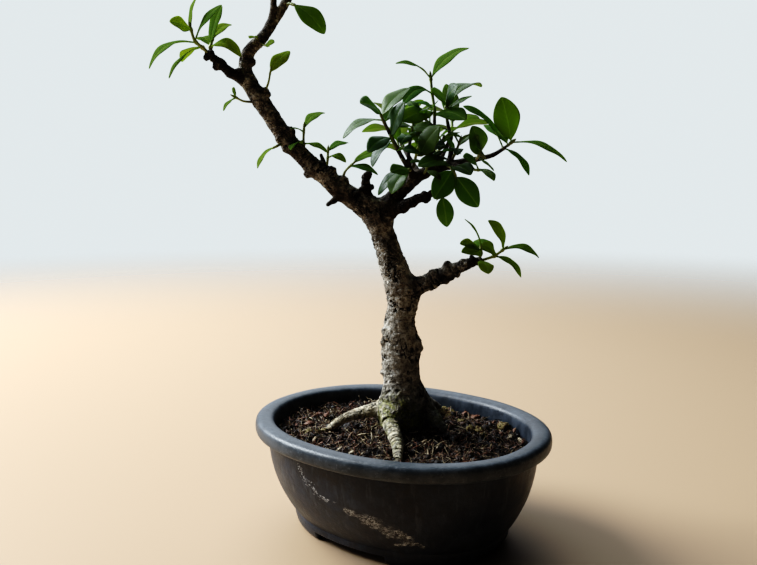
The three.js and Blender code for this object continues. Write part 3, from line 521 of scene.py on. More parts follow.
# Single bits: where they lie in the picture, length, width and thickness in mm, heading and tip in degrees,
# and shade from 0, black, by red-brown and olive to 1, pale.
bigBits = [[353, 453, 7, 3.4, 0.8, 20, 8, 1], [380, 459, 6, 2, 0.5, 5, 5, 0.93],
           [387, 461, 5, 1.6, 0.4, 30, 12, 0.97], [316, 441, 7, 2.4, 0.7, 60, 10, 0.88],
           [306, 431, 8, 2.6, 0.8, 15, 6, 0.9], [322, 429, 8, 2.6, 0.8, 50, 12, 0.91],
           [479, 419, 6.5, 3.8, 2.2, 25, 10, 0.74], [511, 438, 5.5, 2.2, 1.1, 80, 10, 0.96],
           [525, 441, 8.5, 2.4, 1.2, 100, 8, 0.95], [530, 433, 4, 2.4, 1.6, 60, 30, 0.76],
           [487, 443, 5, 1.8, 0.6, 10, 20, 0.82], [473, 444, 5, 1.4, 0.5, 70, 20, 0.86],
           [366, 433, 8, 1.3, 0.5, 120, 28, 0.84], [345, 433, 9, 1.5, 0.6, 95, 24, 0.86],
           [350, 439, 8, 1.2, 0.5, 60, 30, 0.8], [372, 441, 7, 1.3, 0.4, 100, 42, 0.93],
           [361, 446, 7, 1.2, 0.4, 35, 35, 0.9], [381, 447, 6, 1.1, 0.4, 110, 50, 0.88],
           [338, 445, 6, 1.5, 0.5, 10, 22, 0.8], [329, 436, 7, 1.8, 0.6, 75, 15, 0.88],
           [302, 421, 8, 2.8, 1.2, 10, 15, 0.72], [316, 419, 9, 3, 1.4, 40, 10, 0.73],
           [327, 416, 7, 2.6, 1.2, 70, 15, 0.71], [309, 426, 8, 3, 1.3, 20, 8, 0.73],
           [339, 411, 8, 2.6, 1.2, 120, 12, 0.7], [352, 407, 7, 2.4, 1.2, 60, 14, 0.72],
           [296, 428, 7, 2.4, 1.1, 90, 10, 0.71], [465, 415, 5, 2.6, 1.3, 25, 15, 0.72],
           [494, 424, 5, 2.4, 1.3, 60, 10, 0.72], [452, 424, 6, 2.2, 1.2, 110, 12, 0.69],
           [422, 447, 7, 1, 0.4, 20, 38, 0.9], [437, 452, 8, 1, 0.4, 60, 30, 0.92],
           [428, 457, 7, 0.9, 0.4, 95, 35, 0.94], [447, 448, 6, 1.2, 0.5, 120, 20, 0.86],
           [458, 456, 5, 1.6, 0.5, 40, 15, 0.84], [419, 461, 5, 0.9, 0.3, 10, 25, 0.96],
           [408, 452, 10, 0.7, 0.3, 15, 30, 0.97], [414, 455, 9, 0.6, 0.3, 50, 25, 0.95],
           [424, 450, 11, 0.7, 0.3, 35, 20, 0.96], [433, 455, 9, 0.6, 0.3, 80, 35, 0.95],
           [441, 447, 10, 0.6, 0.3, 25, 15, 0.94], [447, 455, 8, 0.7, 0.3, 110, 30, 0.92],
           [411, 461, 8, 0.6, 0.3, 140, 20, 0.97], [429, 461, 9, 0.6, 0.3, 10, 12, 0.95],
           [420, 457, 8, 0.6, 0.3, 160, 25, 0.95]]
# Cushions of moss: place, radius in mm, and how pale, from 0 to 1.
mossLumps = [[441, 405, 3.6, 0.7], [435, 408, 3, 0.2], [447, 409, 2.8, 0.4], [455, 410, 3, 0.5],
             [451, 414, 2.4, 0.1], [458.5, 421, 2.6, 1], [463, 425, 2.3, 0.2], [470, 428, 2.9, 0.3],
             [479, 431, 2.5, 0.5], [474, 431, 1.9, 0.1], [503.5, 429, 3.4, 0.4], [509, 432, 2.3, 0.1],
             [517, 428, 2.6, 0.3], [497, 430, 2, 0.1], [449, 420, 2.4, 0.3], [443, 414, 3, 0.2],
             [437, 418, 2.8, 0.1], [489, 431, 2, 0.2], [485, 436, 1.9, 0], [429, 421, 3.2, 0.1],
             [434, 428, 2.6, 0.1], [440, 424, 2.4, 0.2], [378, 428, 2.2, 0.6], [384, 424, 2.6, 0.3],
             [373, 426, 1.6, 0.6], [326, 431, 2.2, 0.9], [318, 433, 1.9, 0.7], [310, 434, 2.1, 0.6]]
# Strands that stand up at the back: where each leaves the soil.
strandFeet = [[329, 416], [334, 414], [346, 410], [341, 412], [352, 408], [300, 424], [304, 422],
              [295, 426], [322, 418], [312, 420], [289, 431], [368, 404], [309, 424], [337, 409],
              [281, 424], [326, 411], [471, 413], [487, 419]]


# Several sizes of noise laid over one another, each given as its height, its size and its seed.
def layeredNoise(points, layers, noise=smoothNoise):
    return sum(height * noise(points / size, seed) for height, size, seed in layers)


# Two octaves of rough noise.
def roughPair(points, seed):
    return roughNoise(points, seed, 2)


# A level plus a bell curve round the trunk plus two slow waves, with three sizes of noise on top.
def soilHeight(x, y, rough=1.0):
    away = np.hypot(x - trunkFoot[0], y - trunkFoot[1]) / soil["moundReach"]
    waves = np.sin(0.31 * x + 1.1) * np.sin(0.27 * y) + np.sin(0.17 * x - 0.23 * y)
    flat = np.column_stack([np.ravel(x), np.ravel(y), np.zeros(np.size(x))])
    grit = layeredNoise(flat, soil["grit"], roughPair).reshape(np.shape(x))
    return soil["rim"] + soil["mound"] * np.exp(-away * away) + soil["lump"] * waves + rough * grit


# Ovals shrinking from the pot's wall to the trunk's foot, each point lifted to the soil's height; below them
# the soil follows the wall down and closes flat over the drain meshes.
def soilSurface():
    turn = circle(soil["columns"])
    depth = np.array([soil["floor"], soil["floor"], 20, 30, 42, 50, 53])
    inset = np.append(60, bellyInset(depth[1:]) + pot["wall"] + soil["wallGap"])
    inset[1] += 3
    below = ovalRing(inset[:, None], depth[:, None], turn[None, :])
    edge = ovalRing(bellyInset(soil["rim"]) + pot["wall"] - 0.4, 0.0, turn)[:, :2]
    share = np.linspace(1, 0.01, soil["rows"])[:, None, None] ** 0.8
    flat = trunkFoot[:2] + (edge - trunkFoot[:2]) * share
    top = np.concatenate([flat, soilHeight(flat[..., 0], flat[..., 1])[..., None]], axis=-1)
    grid = np.concatenate([below, top])
    poles = [[0, 0, soil["floor"]], [*trunkFoot[:2], soil["rim"] + 4]]
    return np.vstack([grid.reshape(-1, 3), poles]), closedFaces(*grid.shape[:2])


# Spots on the soil: drawn evenly over the oval, clear of its edge and of the trunk.
def soilSpots(count, random, edge):
    spots = random.uniform(-1, 1, (count * 3, 2)) * [pot["halfLength"] - edge, pot["halfWidth"] - edge]
    clear = np.linalg.norm(spots - trunkFoot[:2], axis=1) > soil["trunkClear"]
    spots = spots[(farOut(spots, edge) < 1) & clear][:count]
    return np.column_stack([spots, soilHeight(spots[:, 0], spots[:, 1])])


# The point of the soil under each place in the picture: the ray is followed until it meets the soil's height.
# Points nearer to the pot's wall than clear are drawn in towards its middle, over the oval's own measure.
def onSoil(px, py, clear):
    near = np.zeros(len(px))
    for _ in range(8):
        spot = placed(np.column_stack([px, py, near]))
        rise = placed(np.column_stack([px, py, near + 1]))[:, 2] - spot[:, 2]
        near = near + (soilHeight(spot[:, 0], spot[:, 1]) - spot[:, 2]) / rise
    spot = placed(np.column_stack([px, py, near]))
    out = farOut(spot, pot["wallInset"] + pot["wall"] + np.asarray(clear))
    spot[:, :2] /= np.maximum(out, 1)[:, None]
    spot[:, 2] = soilHeight(spot[:, 0], spot[:, 1])
    return spot


# Turning matrices: about z by heading, after tipping about y and rolling about x.
def turning(heading, tip, roll):
    ch, sh, ct, st, cr, sr = (f(a) for a in (heading, tip, roll) for f in (np.cos, np.sin))
    rows = [[ch * ct, ch * st * sr - sh * cr, ch * st * cr + sh * sr],
            [sh * ct, sh * st * sr + ch * cr, sh * st * cr - ch * sr], [-st, ct * sr, ct * cr]]
    return np.moveaxis(np.array(rows), -1, 0)


# Copies one small shape: each copy's points are scaled, turned and moved, all in one array.
def copies(shape, faces, sizes, turns, spots):
    points = np.einsum("nij,nkj->nki", turns, shape * sizes[:, None, :]) + spots[:, None, :]
    return points.reshape(-1, 3), repeated([faces], len(spots), shape.shape[-2])


# A ball of 20 triangles: the corners of three golden rectangles.
def crumbShape():
    g = (1 + math.sqrt(5)) / 2
    corners = np.array([[-1, g, 0], [1, g, 0], [-1, -g, 0], [1, -g, 0], [0, -1, g], [0, 1, g], [0, -1, -g],
                        [0, 1, -g], [g, 0, -1], [g, 0, 1], [-g, 0, -1], [-g, 0, 1]]) / math.hypot(1, g)
    faces = np.array([[0, 11, 5], [0, 5, 1], [0, 1, 7], [0, 7, 10], [0, 10, 11], [1, 5, 9], [5, 11, 4],
                      [11, 10, 2], [10, 7, 6], [7, 1, 8], [3, 9, 4], [3, 4, 2], [3, 2, 6], [3, 6, 8],
                      [3, 8, 9], [4, 9, 5], [2, 4, 11], [6, 2, 10], [8, 6, 7], [9, 8, 1]])
    return corners, faces


# A splinter or flake: four-sided sections that swell and taper along a short line.
def chipShape():
    thick = np.array([0.35, 0.9, 1.0, 0.8, 0.2])[:, None]
    along, around = np.linspace(-1, 1, len(thick))[:, None], circle(4) + 0.5
    points = np.stack(np.broadcast_arrays(along, thick * np.cos(around), thick * np.sin(around)), axis=-1)
    quads, poles = closedFaces(len(thick), 4)
    return (np.vstack([points.reshape(-1, 3), [[-1.03, 0, 0]], [[1.05, 0, 0]]]),
            np.vstack([quads[:, [0, 1, 2]], quads[:, [0, 2, 3]], poles]))


# Damp bits of earth, bark and leaf: the shade picks a colour from black-brown by red-brown and olive to pale,
# noise breaks it up, and a damp gloss comes and goes.
def loam(name, shine):
    m = newMaterial(name)
    grain = noiseOf(m, 900, 4, 0.7)
    broken = plus(m, valueOf(m, "shade"), spread(m, grain, 0.3, 0.7, (-0.12, 0.10)))
    base = ramp(m, broken, (0.0, (0.0050, 0.0032, 0.0022)), (0.4, (0.020, 0.011, 0.007)),
                (0.62, (0.062, 0.033, 0.020)), (0.74, (0.180, 0.075, 0.045)), (0.84, (0.155, 0.115, 0.060)),
                (0.92, (0.30, 0.23, 0.14)), (1.0, (0.55, 0.47, 0.33)))
    base = coat(m, base, noiseOf(m, 240, 3, 0.6), 0.45, 0.72, 0.6, (0.008, 0.006, 0.005))
    rough = spread(m, noiseOf(m, 420, 3, 0.6), 0.35, 0.7, (shine, 0.8))
    return endWith(m, skin(m, base, rough, 0.28, bumped(m, grain, 0.7, 0.0006)))


# Moss: olive and yellow-green tufts over brown, too fine to model, so they are noise and bump.
def mossFinish():
    m = newMaterial("moss")
    tuft = noiseOf(m, 950, 4, 0.75)
    base = coat(m, (0.020, 0.016, 0.006), tuft, 0.40, 0.62, 1, (0.175, 0.135, 0.038))
    base = coat(m, base, noiseOf(m, 240, 3, 0.6), 0.40, 0.60, 1, (0.085, 0.050, 0.024))
    base = mixed(m, times(m, valueOf(m, "shade"), spread(m, tuft, 0.42, 0.6)), base, (0.42, 0.37, 0.19))
    rough = spread(m, tuft, 0.3, 0.7, (0.95, 0.8))
    return endWith(m, skin(m, base, rough, 0.2, bumped(m, tuft, 0.9, 0.0009)))


# Cushions of moss: balls of rows and columns, flattened, pushed in and out by three sizes of noise.
def makeMoss():
    places = np.array(mossLumps)
    rows, columns = 15, 26
    tip, turn = np.linspace(0.12, math.pi - 0.12, rows)[:, None], circle(columns)
    ball = np.stack(np.broadcast_arrays(np.sin(tip) * np.cos(turn), np.sin(tip) * np.sin(turn), -np.cos(tip)),
                    axis=-1)
    ball = np.vstack([ball.reshape(-1, 3), [[0, 0, -1]], [[0, 0, 1]]])
    spots = onSoil(places[:, 0], places[:, 1], places[:, 2] * 1.3 + 0.5)
    flat = (spots[:, None] + (ball + [0, 0, 0.3]) * places[:, 2, None, None] * [1.1, 1.1, 0.9]).reshape(-1, 3)
    tufts = layeredNoise(flat, ((1.1, 2.3, 131), (0.6, 1.0, 133), (0.3, 0.5, 137)))
    flat = flat + np.tile(ball, (len(places), 1)) * tufts[:, None]
    finished(meshOf("moss_cushions", flat, repeated(closedFaces(rows, columns), len(places), len(ball)),
                    mossFinish(), {"shade": np.repeat(places[:, 3], len(ball))}), "soil")


# Threads: three-sided tubes along each row of points, of the given thickness there, drawn round with the side
# direction and the vertical.
def threads(path, thick, across):
    count, rows = path.shape[:2]
    around = circle(3)[:, None]
    other = np.cross(unit(np.gradient(path, axis=1)), across)
    ring = path[:, :, None] + thick[..., None, None] * (across[:, :, None] * np.cos(around)
                                                        + other[:, :, None] * np.sin(around))
    ends = np.array([[0, 2, 1], [rows * 3 - 3, rows * 3 - 2, rows * 3 - 1]])
    return ring.reshape(-1, 3), repeated([gridFaces(rows, 3), ends], count, rows * 3)


# Crumbs of earth: balls with each corner pushed in or out, their middles a quarter of their size up.
def makeCrumbs(random):
    spots = soilSpots(soil["crumbs"], random, 13.5)
    count = len(spots)
    sizes = between(soil["crumbSize"], random.uniform(0, 1, (count, 1)) ** 3.5) \
        * random.uniform(0.5, 1.3, (count, 3))
    spots[:, 2] += sizes.mean(axis=1) * 0.25
    shape, faces = crumbShape()
    corners = len(shape)
    shape = shape * random.uniform(0.55, 1.35, (count, corners, 1))
    points, faces = copies(shape, faces, sizes, turning(*random.uniform(0, 2 * math.pi, (3, count))), spots)
    shade = np.repeat(0.06 + 0.64 * random.uniform(0, 1, count), corners)
    finished(meshOf("soil_crumbs", points, faces, loam("soil_crumb", 0.4), {"shade": shade}), "soil")


# Flakes and splinters: strewn ones, then the single bits that are listed.
def makeChips(random):
    spots = soilSpots(soil["chips"], random, 14.5)
    bits = np.array(bigBits)
    listed = onSoil(bits[:, 0], bits[:, 1], bits[:, 2] / 2)
    count, total = len(spots), len(spots) + len(bits)
    length = between(soil["chipLength"], random.uniform(0, 1, count) ** 2.4)
    width, thick = random.uniform(0.16, 0.75, count), random.uniform(0.07, 0.24, count)
    sizes = np.vstack([np.column_stack([length / 2, width, thick]), bits[:, 2:5] / 2])
    shape, faces = chipShape()
    shape = shape + np.array([0, 1, 1]) * random.normal(0, 0.24, (total, len(shape), 3))
    steep = random.uniform(0, 1, count) > 0.72
    tip = np.where(steep, random.uniform(-1.0, 1.0, count), random.normal(0, 0.26, count))
    tip = np.append(tip, -np.radians(bits[:, 6]))
    heading = np.append(random.uniform(0, 2 * math.pi, count), np.radians(bits[:, 5]) + seen["turn"])
    turns = turning(heading, tip, np.append(random.normal(0, 0.7, count), random.normal(0, 0.2, len(bits))))
    spots = np.vstack([spots, listed])
    spots[:, 2] += 0.35 + sizes[:, 2] * 0.4 + np.abs(np.sin(tip)) * sizes[:, 0] * 0.7
    points, faces = copies(shape, faces, sizes, turns, spots)
    # Each bends along its length: the middle is raised by a parabola.
    bow = np.repeat(random.uniform(-0.05, 0.22, total) * sizes[:, 0], shape.shape[1])
    points[:, 2] += bow * (1 - np.minimum(np.abs(shape[..., 0].ravel()), 1) ** 2)
    shade = np.append(0.2 + 0.75 * random.uniform(0, 1, count) ** 1.15, bits[:, 7])
    finished(meshOf("bark_chips", points, faces, loam("bark_chip", 0.32),
                    {"shade": np.repeat(shade, shape.shape[1])}), "soil")


# Fibres that curl over the surface, and strands that stand up out of it.
def makeFibres(random):
    spots = soilSpots(soil["fibres"], random, 15)
    count, rows = len(spots), soil["fibreRows"]
    along = np.linspace(-0.5, 0.5, rows)
    share = along + 0.5
    length = random.uniform(*soil["fibreLength"], count)[:, None]
    heading = random.uniform(0, 2 * math.pi, count)[:, None] + random.normal(0, 1.3, count)[:, None] * along
    ahead = np.stack([np.cos(heading), np.sin(heading), np.zeros_like(heading)], axis=-1)
    path = spots[:, None] + np.cumsum(ahead * (length / rows)[..., None], axis=1)
    lift = random.uniform(0, 1, (count, 1)) ** 3 * 6
    path[..., 2] = soilHeight(path[..., 0], path[..., 1], 0.9) + 0.8 + lift * share ** 1.6
    thick = random.uniform(0.1, 0.26, (count, 1)) * (1 - 0.6 * np.abs(along * 2) ** 3)
    across = ahead[..., [1, 0, 2]] * [-1, 1, 1]

    feet = onSoil(*np.array(strandFeet, float).T, 2)
    some = len(feet)
    height = random.uniform(*soil["strandHeight"], (some, 1))
    bend = [random.normal(0, 0.55, some), random.normal(0, 0.3, some), np.zeros(some)]
    bend = turned(np.column_stack(bend))
    upright = feet[:, None] + bend[:, None] * (height * (share + 0.25 * np.sin(5 * share)))[..., None]
    upright[..., 2] += height * share * (1 - 0.35 * share) - 0.6
    sideways = np.broadcast_to(turned([1.0, 0, 0]), upright.shape)
    thick = np.vstack([thick, random.uniform(0.28, 0.5, (some, 1)) * (1 - 0.75 * share ** 2)])
    points, faces = threads(np.concatenate([path, upright]), thick, np.concatenate([across, sideways]))
    shade = np.append(random.uniform(0.6, 1.0, count), random.uniform(0.72, 0.86, some))
    finished(meshOf("root_fibres", points, faces, loam("root_fibre", 0.45),
                    {"shade": np.repeat(shade, rows * 3)}), "soil")


# The soil's own surface, then all that lies on it, drawn from one seed.
def makeSoil():
    random = np.random.default_rng(5)
    points, faces = soilSurface()
    shade = 0.28 + 0.3 * smoothNoise(points / 5.0, 43)
    finished(meshOf("soil_surface", points, faces, loam("damp_soil", 0.5), {"shade": shade}), "soil", "soil")
    makeCrumbs(random)
    makeChips(random)
    makeFibres(random)
    makeMoss()


# The wood. Limbs are joined by a smooth blend, and the bark is raised from that surface by a formula.
wood = {"voxel": 0.46, "sides": 14, "steps": 4, "thinnest": 0.25, "blend": 0.9, "knotBlend": 0.7,
        "lump": 0.55, "smallLump": 0.4, "crack": 0.7, "pit": 0.6, "waist": 0.3, "scale": 0.3, "grit": 0.25,
        "flake": 0.28, "mossUp": (4, 26), "mossOut": (26, 46), "mossCrown": [397, 413, 11],
        "crownReach": (5, 17), "leaderFrom": (125, 190), "footUpTo": (10, 34), "darker": 0.4}
# Each limb: its path in the picture, as places with a radius in mm.
limbs = {
    "trunk": [[404, 468, 0, 8], [404, 448, 0, 13], [404, 430, 1, 15], [403.5, 417, 2, 14.6],
        [403.5, 404, 3, 13], [402.5, 392, 3, 11.7], [402, 380, 3, 10.5], [401, 366, 3, 10.6],
        [400.5, 351, 3, 11], [400, 338, 3, 10.5], [399.5, 325, 3, 9.2], [401.5, 312, 3, 8.6],
        [403, 300, 3, 8.8], [400.5, 287, 3, 8.8], [396.5, 274, 2, 8.2], [391, 259, 1, 7.6],
        [386, 244, 0, 7.2], [381.5, 230, -1, 7.1], [376.5, 217, -1, 7.6], [367, 207, 0, 7.4],
        [355, 199.5, 1, 6.3], [341, 190, 3, 5.8], [326, 177, 4, 5.2], [313, 166.5, 5, 5.2],
        [301.5, 155, 5, 4.7], [293, 146, 5, 4.8], [283.5, 134.5, 5, 4.7], [273.5, 119.5, 5, 4.8],
        [265, 107, 5, 4.9], [257.5, 96, 5, 4.9], [249.5, 83, 5, 4.4], [245.5, 71, 4, 3.8],
        [245.5, 60, 4, 3.4], [250.5, 49.5, 4, 3.4], [260, 40.5, 4, 3.2], [267, 31.5, 4, 2.8],
        [274, 21, 4, 2.7], [281, 10, 4, 2.6], [287, 0, 4, 2.4], [294, -16, 3, 2.2], [299, -34, 1, 1.9],
        [300, -52, -2, 1.5], [297, -68, -4, 1.1]],
    "leftRoot": [[394, 405, 0, 7], [381, 408.7, 0, 5], [366, 411.5, 1, 3.9], [353, 415, 1, 3.2],
        [342, 419.5, 0.5, 2.7], [334.5, 424.5, -0.5, 2.3], [327.5, 430.5, -2, 1.9], [320, 437.5, -3, 1.3]],
    "frontRoot": [[396, 408, 8, 8], [391, 422, 15, 5.2], [394, 433, 24, 4.2], [397.5, 446, 36, 3.4],
        [398, 455, 44, 2.8], [397, 462, 51, 2.1], [394, 470, 55, 1.4]],
    "rightRoot": [[413, 400, 3, 8], [424, 408, 4, 6], [433, 417, 6, 4.6], [442, 428, 9, 3.2]],
    "backRoot": [[409, 404, -4, 8], [418, 402, -16, 5.4], [428, 402, -29, 3.6], [438, 407, -41, 2.2]],
    "sideRoot": [[398, 404, -4, 8], [388, 405, -17, 4.6], [377, 407.5, -31, 3], [366, 411, -42, 1.9]],
    "lowerBranch": [[402, 293, 3, 6.6], [414, 288, 4, 5.5], [425, 283.5, 6, 4.9], [436, 278.5, 7, 4.6],
        [447, 273, 9, 4.2], [459, 267.5, 10, 3.4], [470, 263.5, 12, 2.8], [479, 260.5, 12, 2]],
    "crownBranch": [[380, 217, 0, 6.4], [388, 205, 1, 5.6], [397, 194.5, 2, 4.6], [408, 185, 3, 3.9],
        [418, 176.5, 3, 3.4], [430, 170, 3, 3], [445, 166, 2, 2.5], [462, 162, 1, 2], [478, 159, 0, 1.6],
        [493, 155, 0, 1.3], [503, 149, 0, 1.1]],
    "crownStub": [[390, 210, 2, 4.2], [400, 207, 6, 3.4], [411, 202, 9, 2.8], [422, 197.5, 10, 2.4],
        [431, 195, 10, 1.4]],
    "forkStub": [[368, 206, 0, 4.2], [366.5, 193, 2, 2.8], [365.5, 183, 2, 2.5], [367, 175, 2, 2]],
    "leftTwig": [[248, 82, 5, 3.4], [238, 77, 7, 2.9], [226.5, 69.5, 9, 2.6], [216.5, 60.5, 11, 2.3],
        [208, 53, 12, 1.7]],
    "topTwig": [[270, 27, 4, 2.4], [273, 13, 6, 2], [273, -4, 9, 1.7], [267, -22, 12, 1.4],
        [258, -36, 14, 1]],
    "peakTwig": [[294, -16, 3, 2], [307, -28, 8, 1.6], [321, -37, 12, 1.3], [332, -48, 14, 1]],
    "crownUpright": [[428, 171, 3, 2.2], [432, 158, 4, 1.5], [434, 143, 3, 1.2], [434.5, 128, 1, 1],
        [434.5, 117, 0, 0.9]],
    "crownSecond": [[449, 165, 2, 1.9], [451, 151, 2, 1.3], [450, 136, 1, 1.1], [447.5, 122, 1, 0.9]],
    "crownLeftTwig": [[415, 180, 4, 2.4], [408, 168, 6, 1.5], [399, 152, 10, 1.2], [391, 136, 14, 1],
        [385, 124, 17, 0.9]],
    "crownInnerTwig": [[412, 176, 5, 1.7], [409, 163, 7, 1.1], [409, 148, 8, 0.9], [411.5, 133, 9, 0.8]],
    "crownBackTwig": [[436, 169, 2, 2.2], [441, 158, -10, 1.5], [447, 146, -21, 1.2], [452, 135, -30, 0.9]],
    "crownFarTwig": [[420, 176, 3, 2.2], [413, 164, -9, 1.5], [406, 152, -20, 1.2], [400, 140, -29, 0.9]],
    "crownFrontTwig": [[452, 165, 2, 2.2], [462, 168, 12, 1.7], [473, 169, 21, 1.1]],
    "lowStub": [[342, 195, 4, 3], [335, 199.5, 7, 1.7], [328, 204.5, 9, 1.2]],
    "sideSpur": [[327, 175, 4, 3], [324.5, 165, 3, 1.6], [321, 155, 3, 0.9]],
}
# Knots and bud scars: places with a radius in mm.
knots = [[384.5, 331, 6, 2.4], [384, 342, 6, 2.6], [387, 336, 8, 2.6], [415, 345, 5, 5], [413, 382, 4, 3],
         [384, 372, 4, 2], [433, 273, 8, 2.6], [432, 286, 6, 2.4], [431, 289.5, 6, 1.2], [438, 271, 8, 1.6],
         [447, 266, 9, 2.5], [447.5, 262.5, 9, 1.7], [445.5, 280, 9, 2.6], [452, 278, 10, 1.5],
         [457, 275, 10, 1.8], [463, 262, 11, 1.8], [471, 260, 12, 2], [471.5, 257.5, 12, 1.4],
         [480, 262, 12, 1.9], [206, 58, 12, 1.8], [216, 67, 10, 2.1], [211, 52, 12, 1.7],
         [403, 208, 8, 2.9], [413, 204, 10, 2.1], [417, 198, 10, 1.9], [424, 194, 11, 1.9],
         [426, 200, 11, 2.1], [431, 192.5, 11, 1.7], [429, 199, 11, 1.3], [369, 174, 2, 2.2],
         [365, 177, 2, 2], [371.5, 187, 3, 1.9], [361.5, 190, 3, 1.8], [281, 139, 7, 3.2],
         [291, 131, 7, 2.8], [287, 148, 7, 3], [305, 177, 5, 2.6], [332, 170, 5, 2.6], [344, 180, 4, 3],
         [334, 201, 7, 1.6], [268, 91, 7, 3.2], [252, 62, 5, 2.4], [240, 72, 7, 2.4], [221, 64, 10, 2.6],
         [230, 74, 9, 2.2], [392, 213, 3, 2.6], [399, 188, 4, 1.9], [426, 176, 4, 1.7], [440, 170, 4, 1.7],
         [455, 166, 3, 1.5], [379, 228, 3, 3], [384, 262, 3, 2.4], [406, 300, 4, 3.4], [391, 312, 5, 2.6]]
# How the bark looks on each limb: tone from 0, dark brown, to 1, pale grey; how deep its rings are in mm, and
# how far apart; and how deep its cracks and pits are, as a share.
barkLook = {"trunk": (0.85, 0.12, 3.7, 1), "leftRoot": (1.2, 0.12, 4.2, 0.6),
            "frontRoot": (1.05, 0.9, 3.2, 0.7), "rightRoot": (0.6, 0.2, 4, 0.8),
            "backRoot": (0.6, 0.15, 4, 0.7), "sideRoot": (0.7, 0.15, 4, 0.7),
            "lowerBranch": (0.42, 0.8, 2.5, 0.9), "crownBranch": (0.28, 0.25, 3, 0.8),
            "crownStub": (0.1, 0.5, 2.4, 1), "forkStub": (0.15, 0.6, 2.2, 1),
            "leftTwig": (0.1, 0.6, 2.2, 0.9)}
plainTwig = (0.18, 0.14, 2.2, 0.5)


# A centripetal Catmull-Rom curve through rows of x, y, z and radius: each stretch is a Hermite cubic whose
# end slopes weigh the neighbouring chords by the fourth root of their squared lengths.
def alongCurve(rows, share):
    share = np.asarray(share, float) * (len(rows) - 1)
    stretch = np.clip(share.astype(int), 0, len(rows) - 2)
    t = (share - stretch)[:, None]
    ends = np.vstack([2 * rows[0] - rows[1], rows, 2 * rows[-1] - rows[-2]])
    gap = np.sum(np.diff(ends[:, :3], axis=0) ** 2, axis=1) ** 0.25
    a, b, c, d = (ends[stretch + k] for k in range(4))
    g, h, k = (gap[stretch + n][:, None] for n in range(3))
    leave = ((b - a) / g - (c - a) / (g + h) + (c - b) / h) * h
    arrive = ((c - b) / h - (d - b) / (h + k) + (d - c) / k) * h
    return (b + leave * t + (3 * (c - b) - 2 * leave - arrive) * t ** 2
            + (2 * (b - c) + leave + arrive) * t ** 3)


# Rows of x, y, z and radius in mm for places in the picture.
def rowsOf(places):
    return np.column_stack([placed(places), np.asarray(places, float)[:, 3]])


# The curve through the places, with so many steps from each to the next, and nowhere too thin.
def pathOf(places, steps):
    path = alongCurve(rowsOf(places), np.linspace(0, 1, (len(places) - 1) * steps + 1))
    path[:, 3] = np.maximum(path[:, 3], wood["thinnest"])
    return path


# Two unit vectors square to the path at each of its points, turning with it as little as they can.
def pathFrame(points):
    tangent = unit(np.gradient(points, axis=0))
    side = np.zeros_like(tangent)
    side[0] = unit(np.cross(tangent[0], [0.31, 0.83, 0.46]))
    for i in range(1, len(points)):
        side[i] = unit(side[i - 1] - tangent[i] * (side[i - 1] @ tangent[i]))
    return tangent, side, np.cross(tangent, side)


# A closed tube: circles of the path's radius round it, each end drawn in to a pole.
def tubeOf(path, sides, capLength):
    tangent, side, other = pathFrame(path[:, :3])
    around = circle(sides)[:, None]
    rings = path[:, None, :3] + (side[:, None] * np.cos(around) + other[:, None] * np.sin(around)) \
        * path[:, None, 3:4]
    poles = [path[end, :3] + way * tangent[end] * path[end, 3] * capLength for end, way in ((0, -1), (-1, 1))]
    return np.vstack([rings.reshape(-1, 3), poles]), closedFaces(len(path), sides)


# Blends two distances into one: the lesser, sunk by a parabola of this width where they are alike.
def blended(field, far, width):
    overlap = np.maximum(width - np.abs(far - field), 0) / width
    return np.minimum(field, far) - overlap ** 2 * width / 4


# For each point: its signed distance to the blended wood, the nearest limb's index, how far along it the
# point lies, that limb's radius there, the point's offset from its middle line in the limb's own frame, and
# how much further off the next limb is.
def woodField(points, paths, balls):
    count = len(points)
    field, nearest, second = (np.full(count, 50.0) for _ in range(3))
    label, along, radius, local = np.zeros(count, int), np.zeros(count), np.ones(count), np.zeros((count, 2))
    for index, path in enumerate(paths):
        low, high = path[:, :3].min(axis=0) - 14, path[:, :3].max(axis=0) + 14
        chosen = np.flatnonzero(np.all((points > low) & (points < high), axis=1))
        side, other = pathFrame(path[:, :3])[1:]
        a, step = path[:-1], np.diff(path, axis=0)
        square = np.sum(step[:, :3] ** 2, axis=1)
        lengths = np.append(0, np.cumsum(np.linalg.norm(step[:, :3], axis=1)))
        # The points are taken in shares, so that no array has more than a million and a half rows.
        for some in np.array_split(chosen, max(1, len(chosen) * len(a) // 1500000 + 1)):
            if not len(some):
                continue
            off = points[some, None] - a[None, :, :3]
            t = np.clip(np.einsum("nmk,mk->nm", off, step[:, :3]) / square, 0, 1)
            off = off - t[..., None] * step[None, :, :3]
            reach = a[:, 3] + t * step[:, 3]
            far = np.linalg.norm(off, axis=2) - reach
            pick = far.argmin(axis=1)
            far, t, off, reach = (array[np.arange(len(some)), pick] for array in (far, t, off, reach))
            # The smaller limb's radius sets how wide the fillet is that joins it to what it grows from.
            width = np.maximum(wood["blend"] * np.minimum(reach, radius[some]), 0.3)
            closer = far < nearest[some]
            field[some] = blended(field[some], far, width)
            second[some] = np.where(closer, nearest[some], np.minimum(second[some], far))
            nearest[some] = np.where(closer, far, nearest[some])
            won, pick, off = some[closer], pick[closer], off[closer]
            label[won], radius[won] = index, reach[closer]
            along[won] = lengths[pick] + t[closer] * np.sqrt(square[pick])
            local[won] = np.stack([np.sum(off * way[pick], axis=1) for way in (side, other)], axis=1)
    for x, y, z, size in balls:
        field = blended(field, np.linalg.norm(points - [x, y, z], axis=1) - size, wood["knotBlend"] * size)
    return field, label, along, radius, local, second - nearest


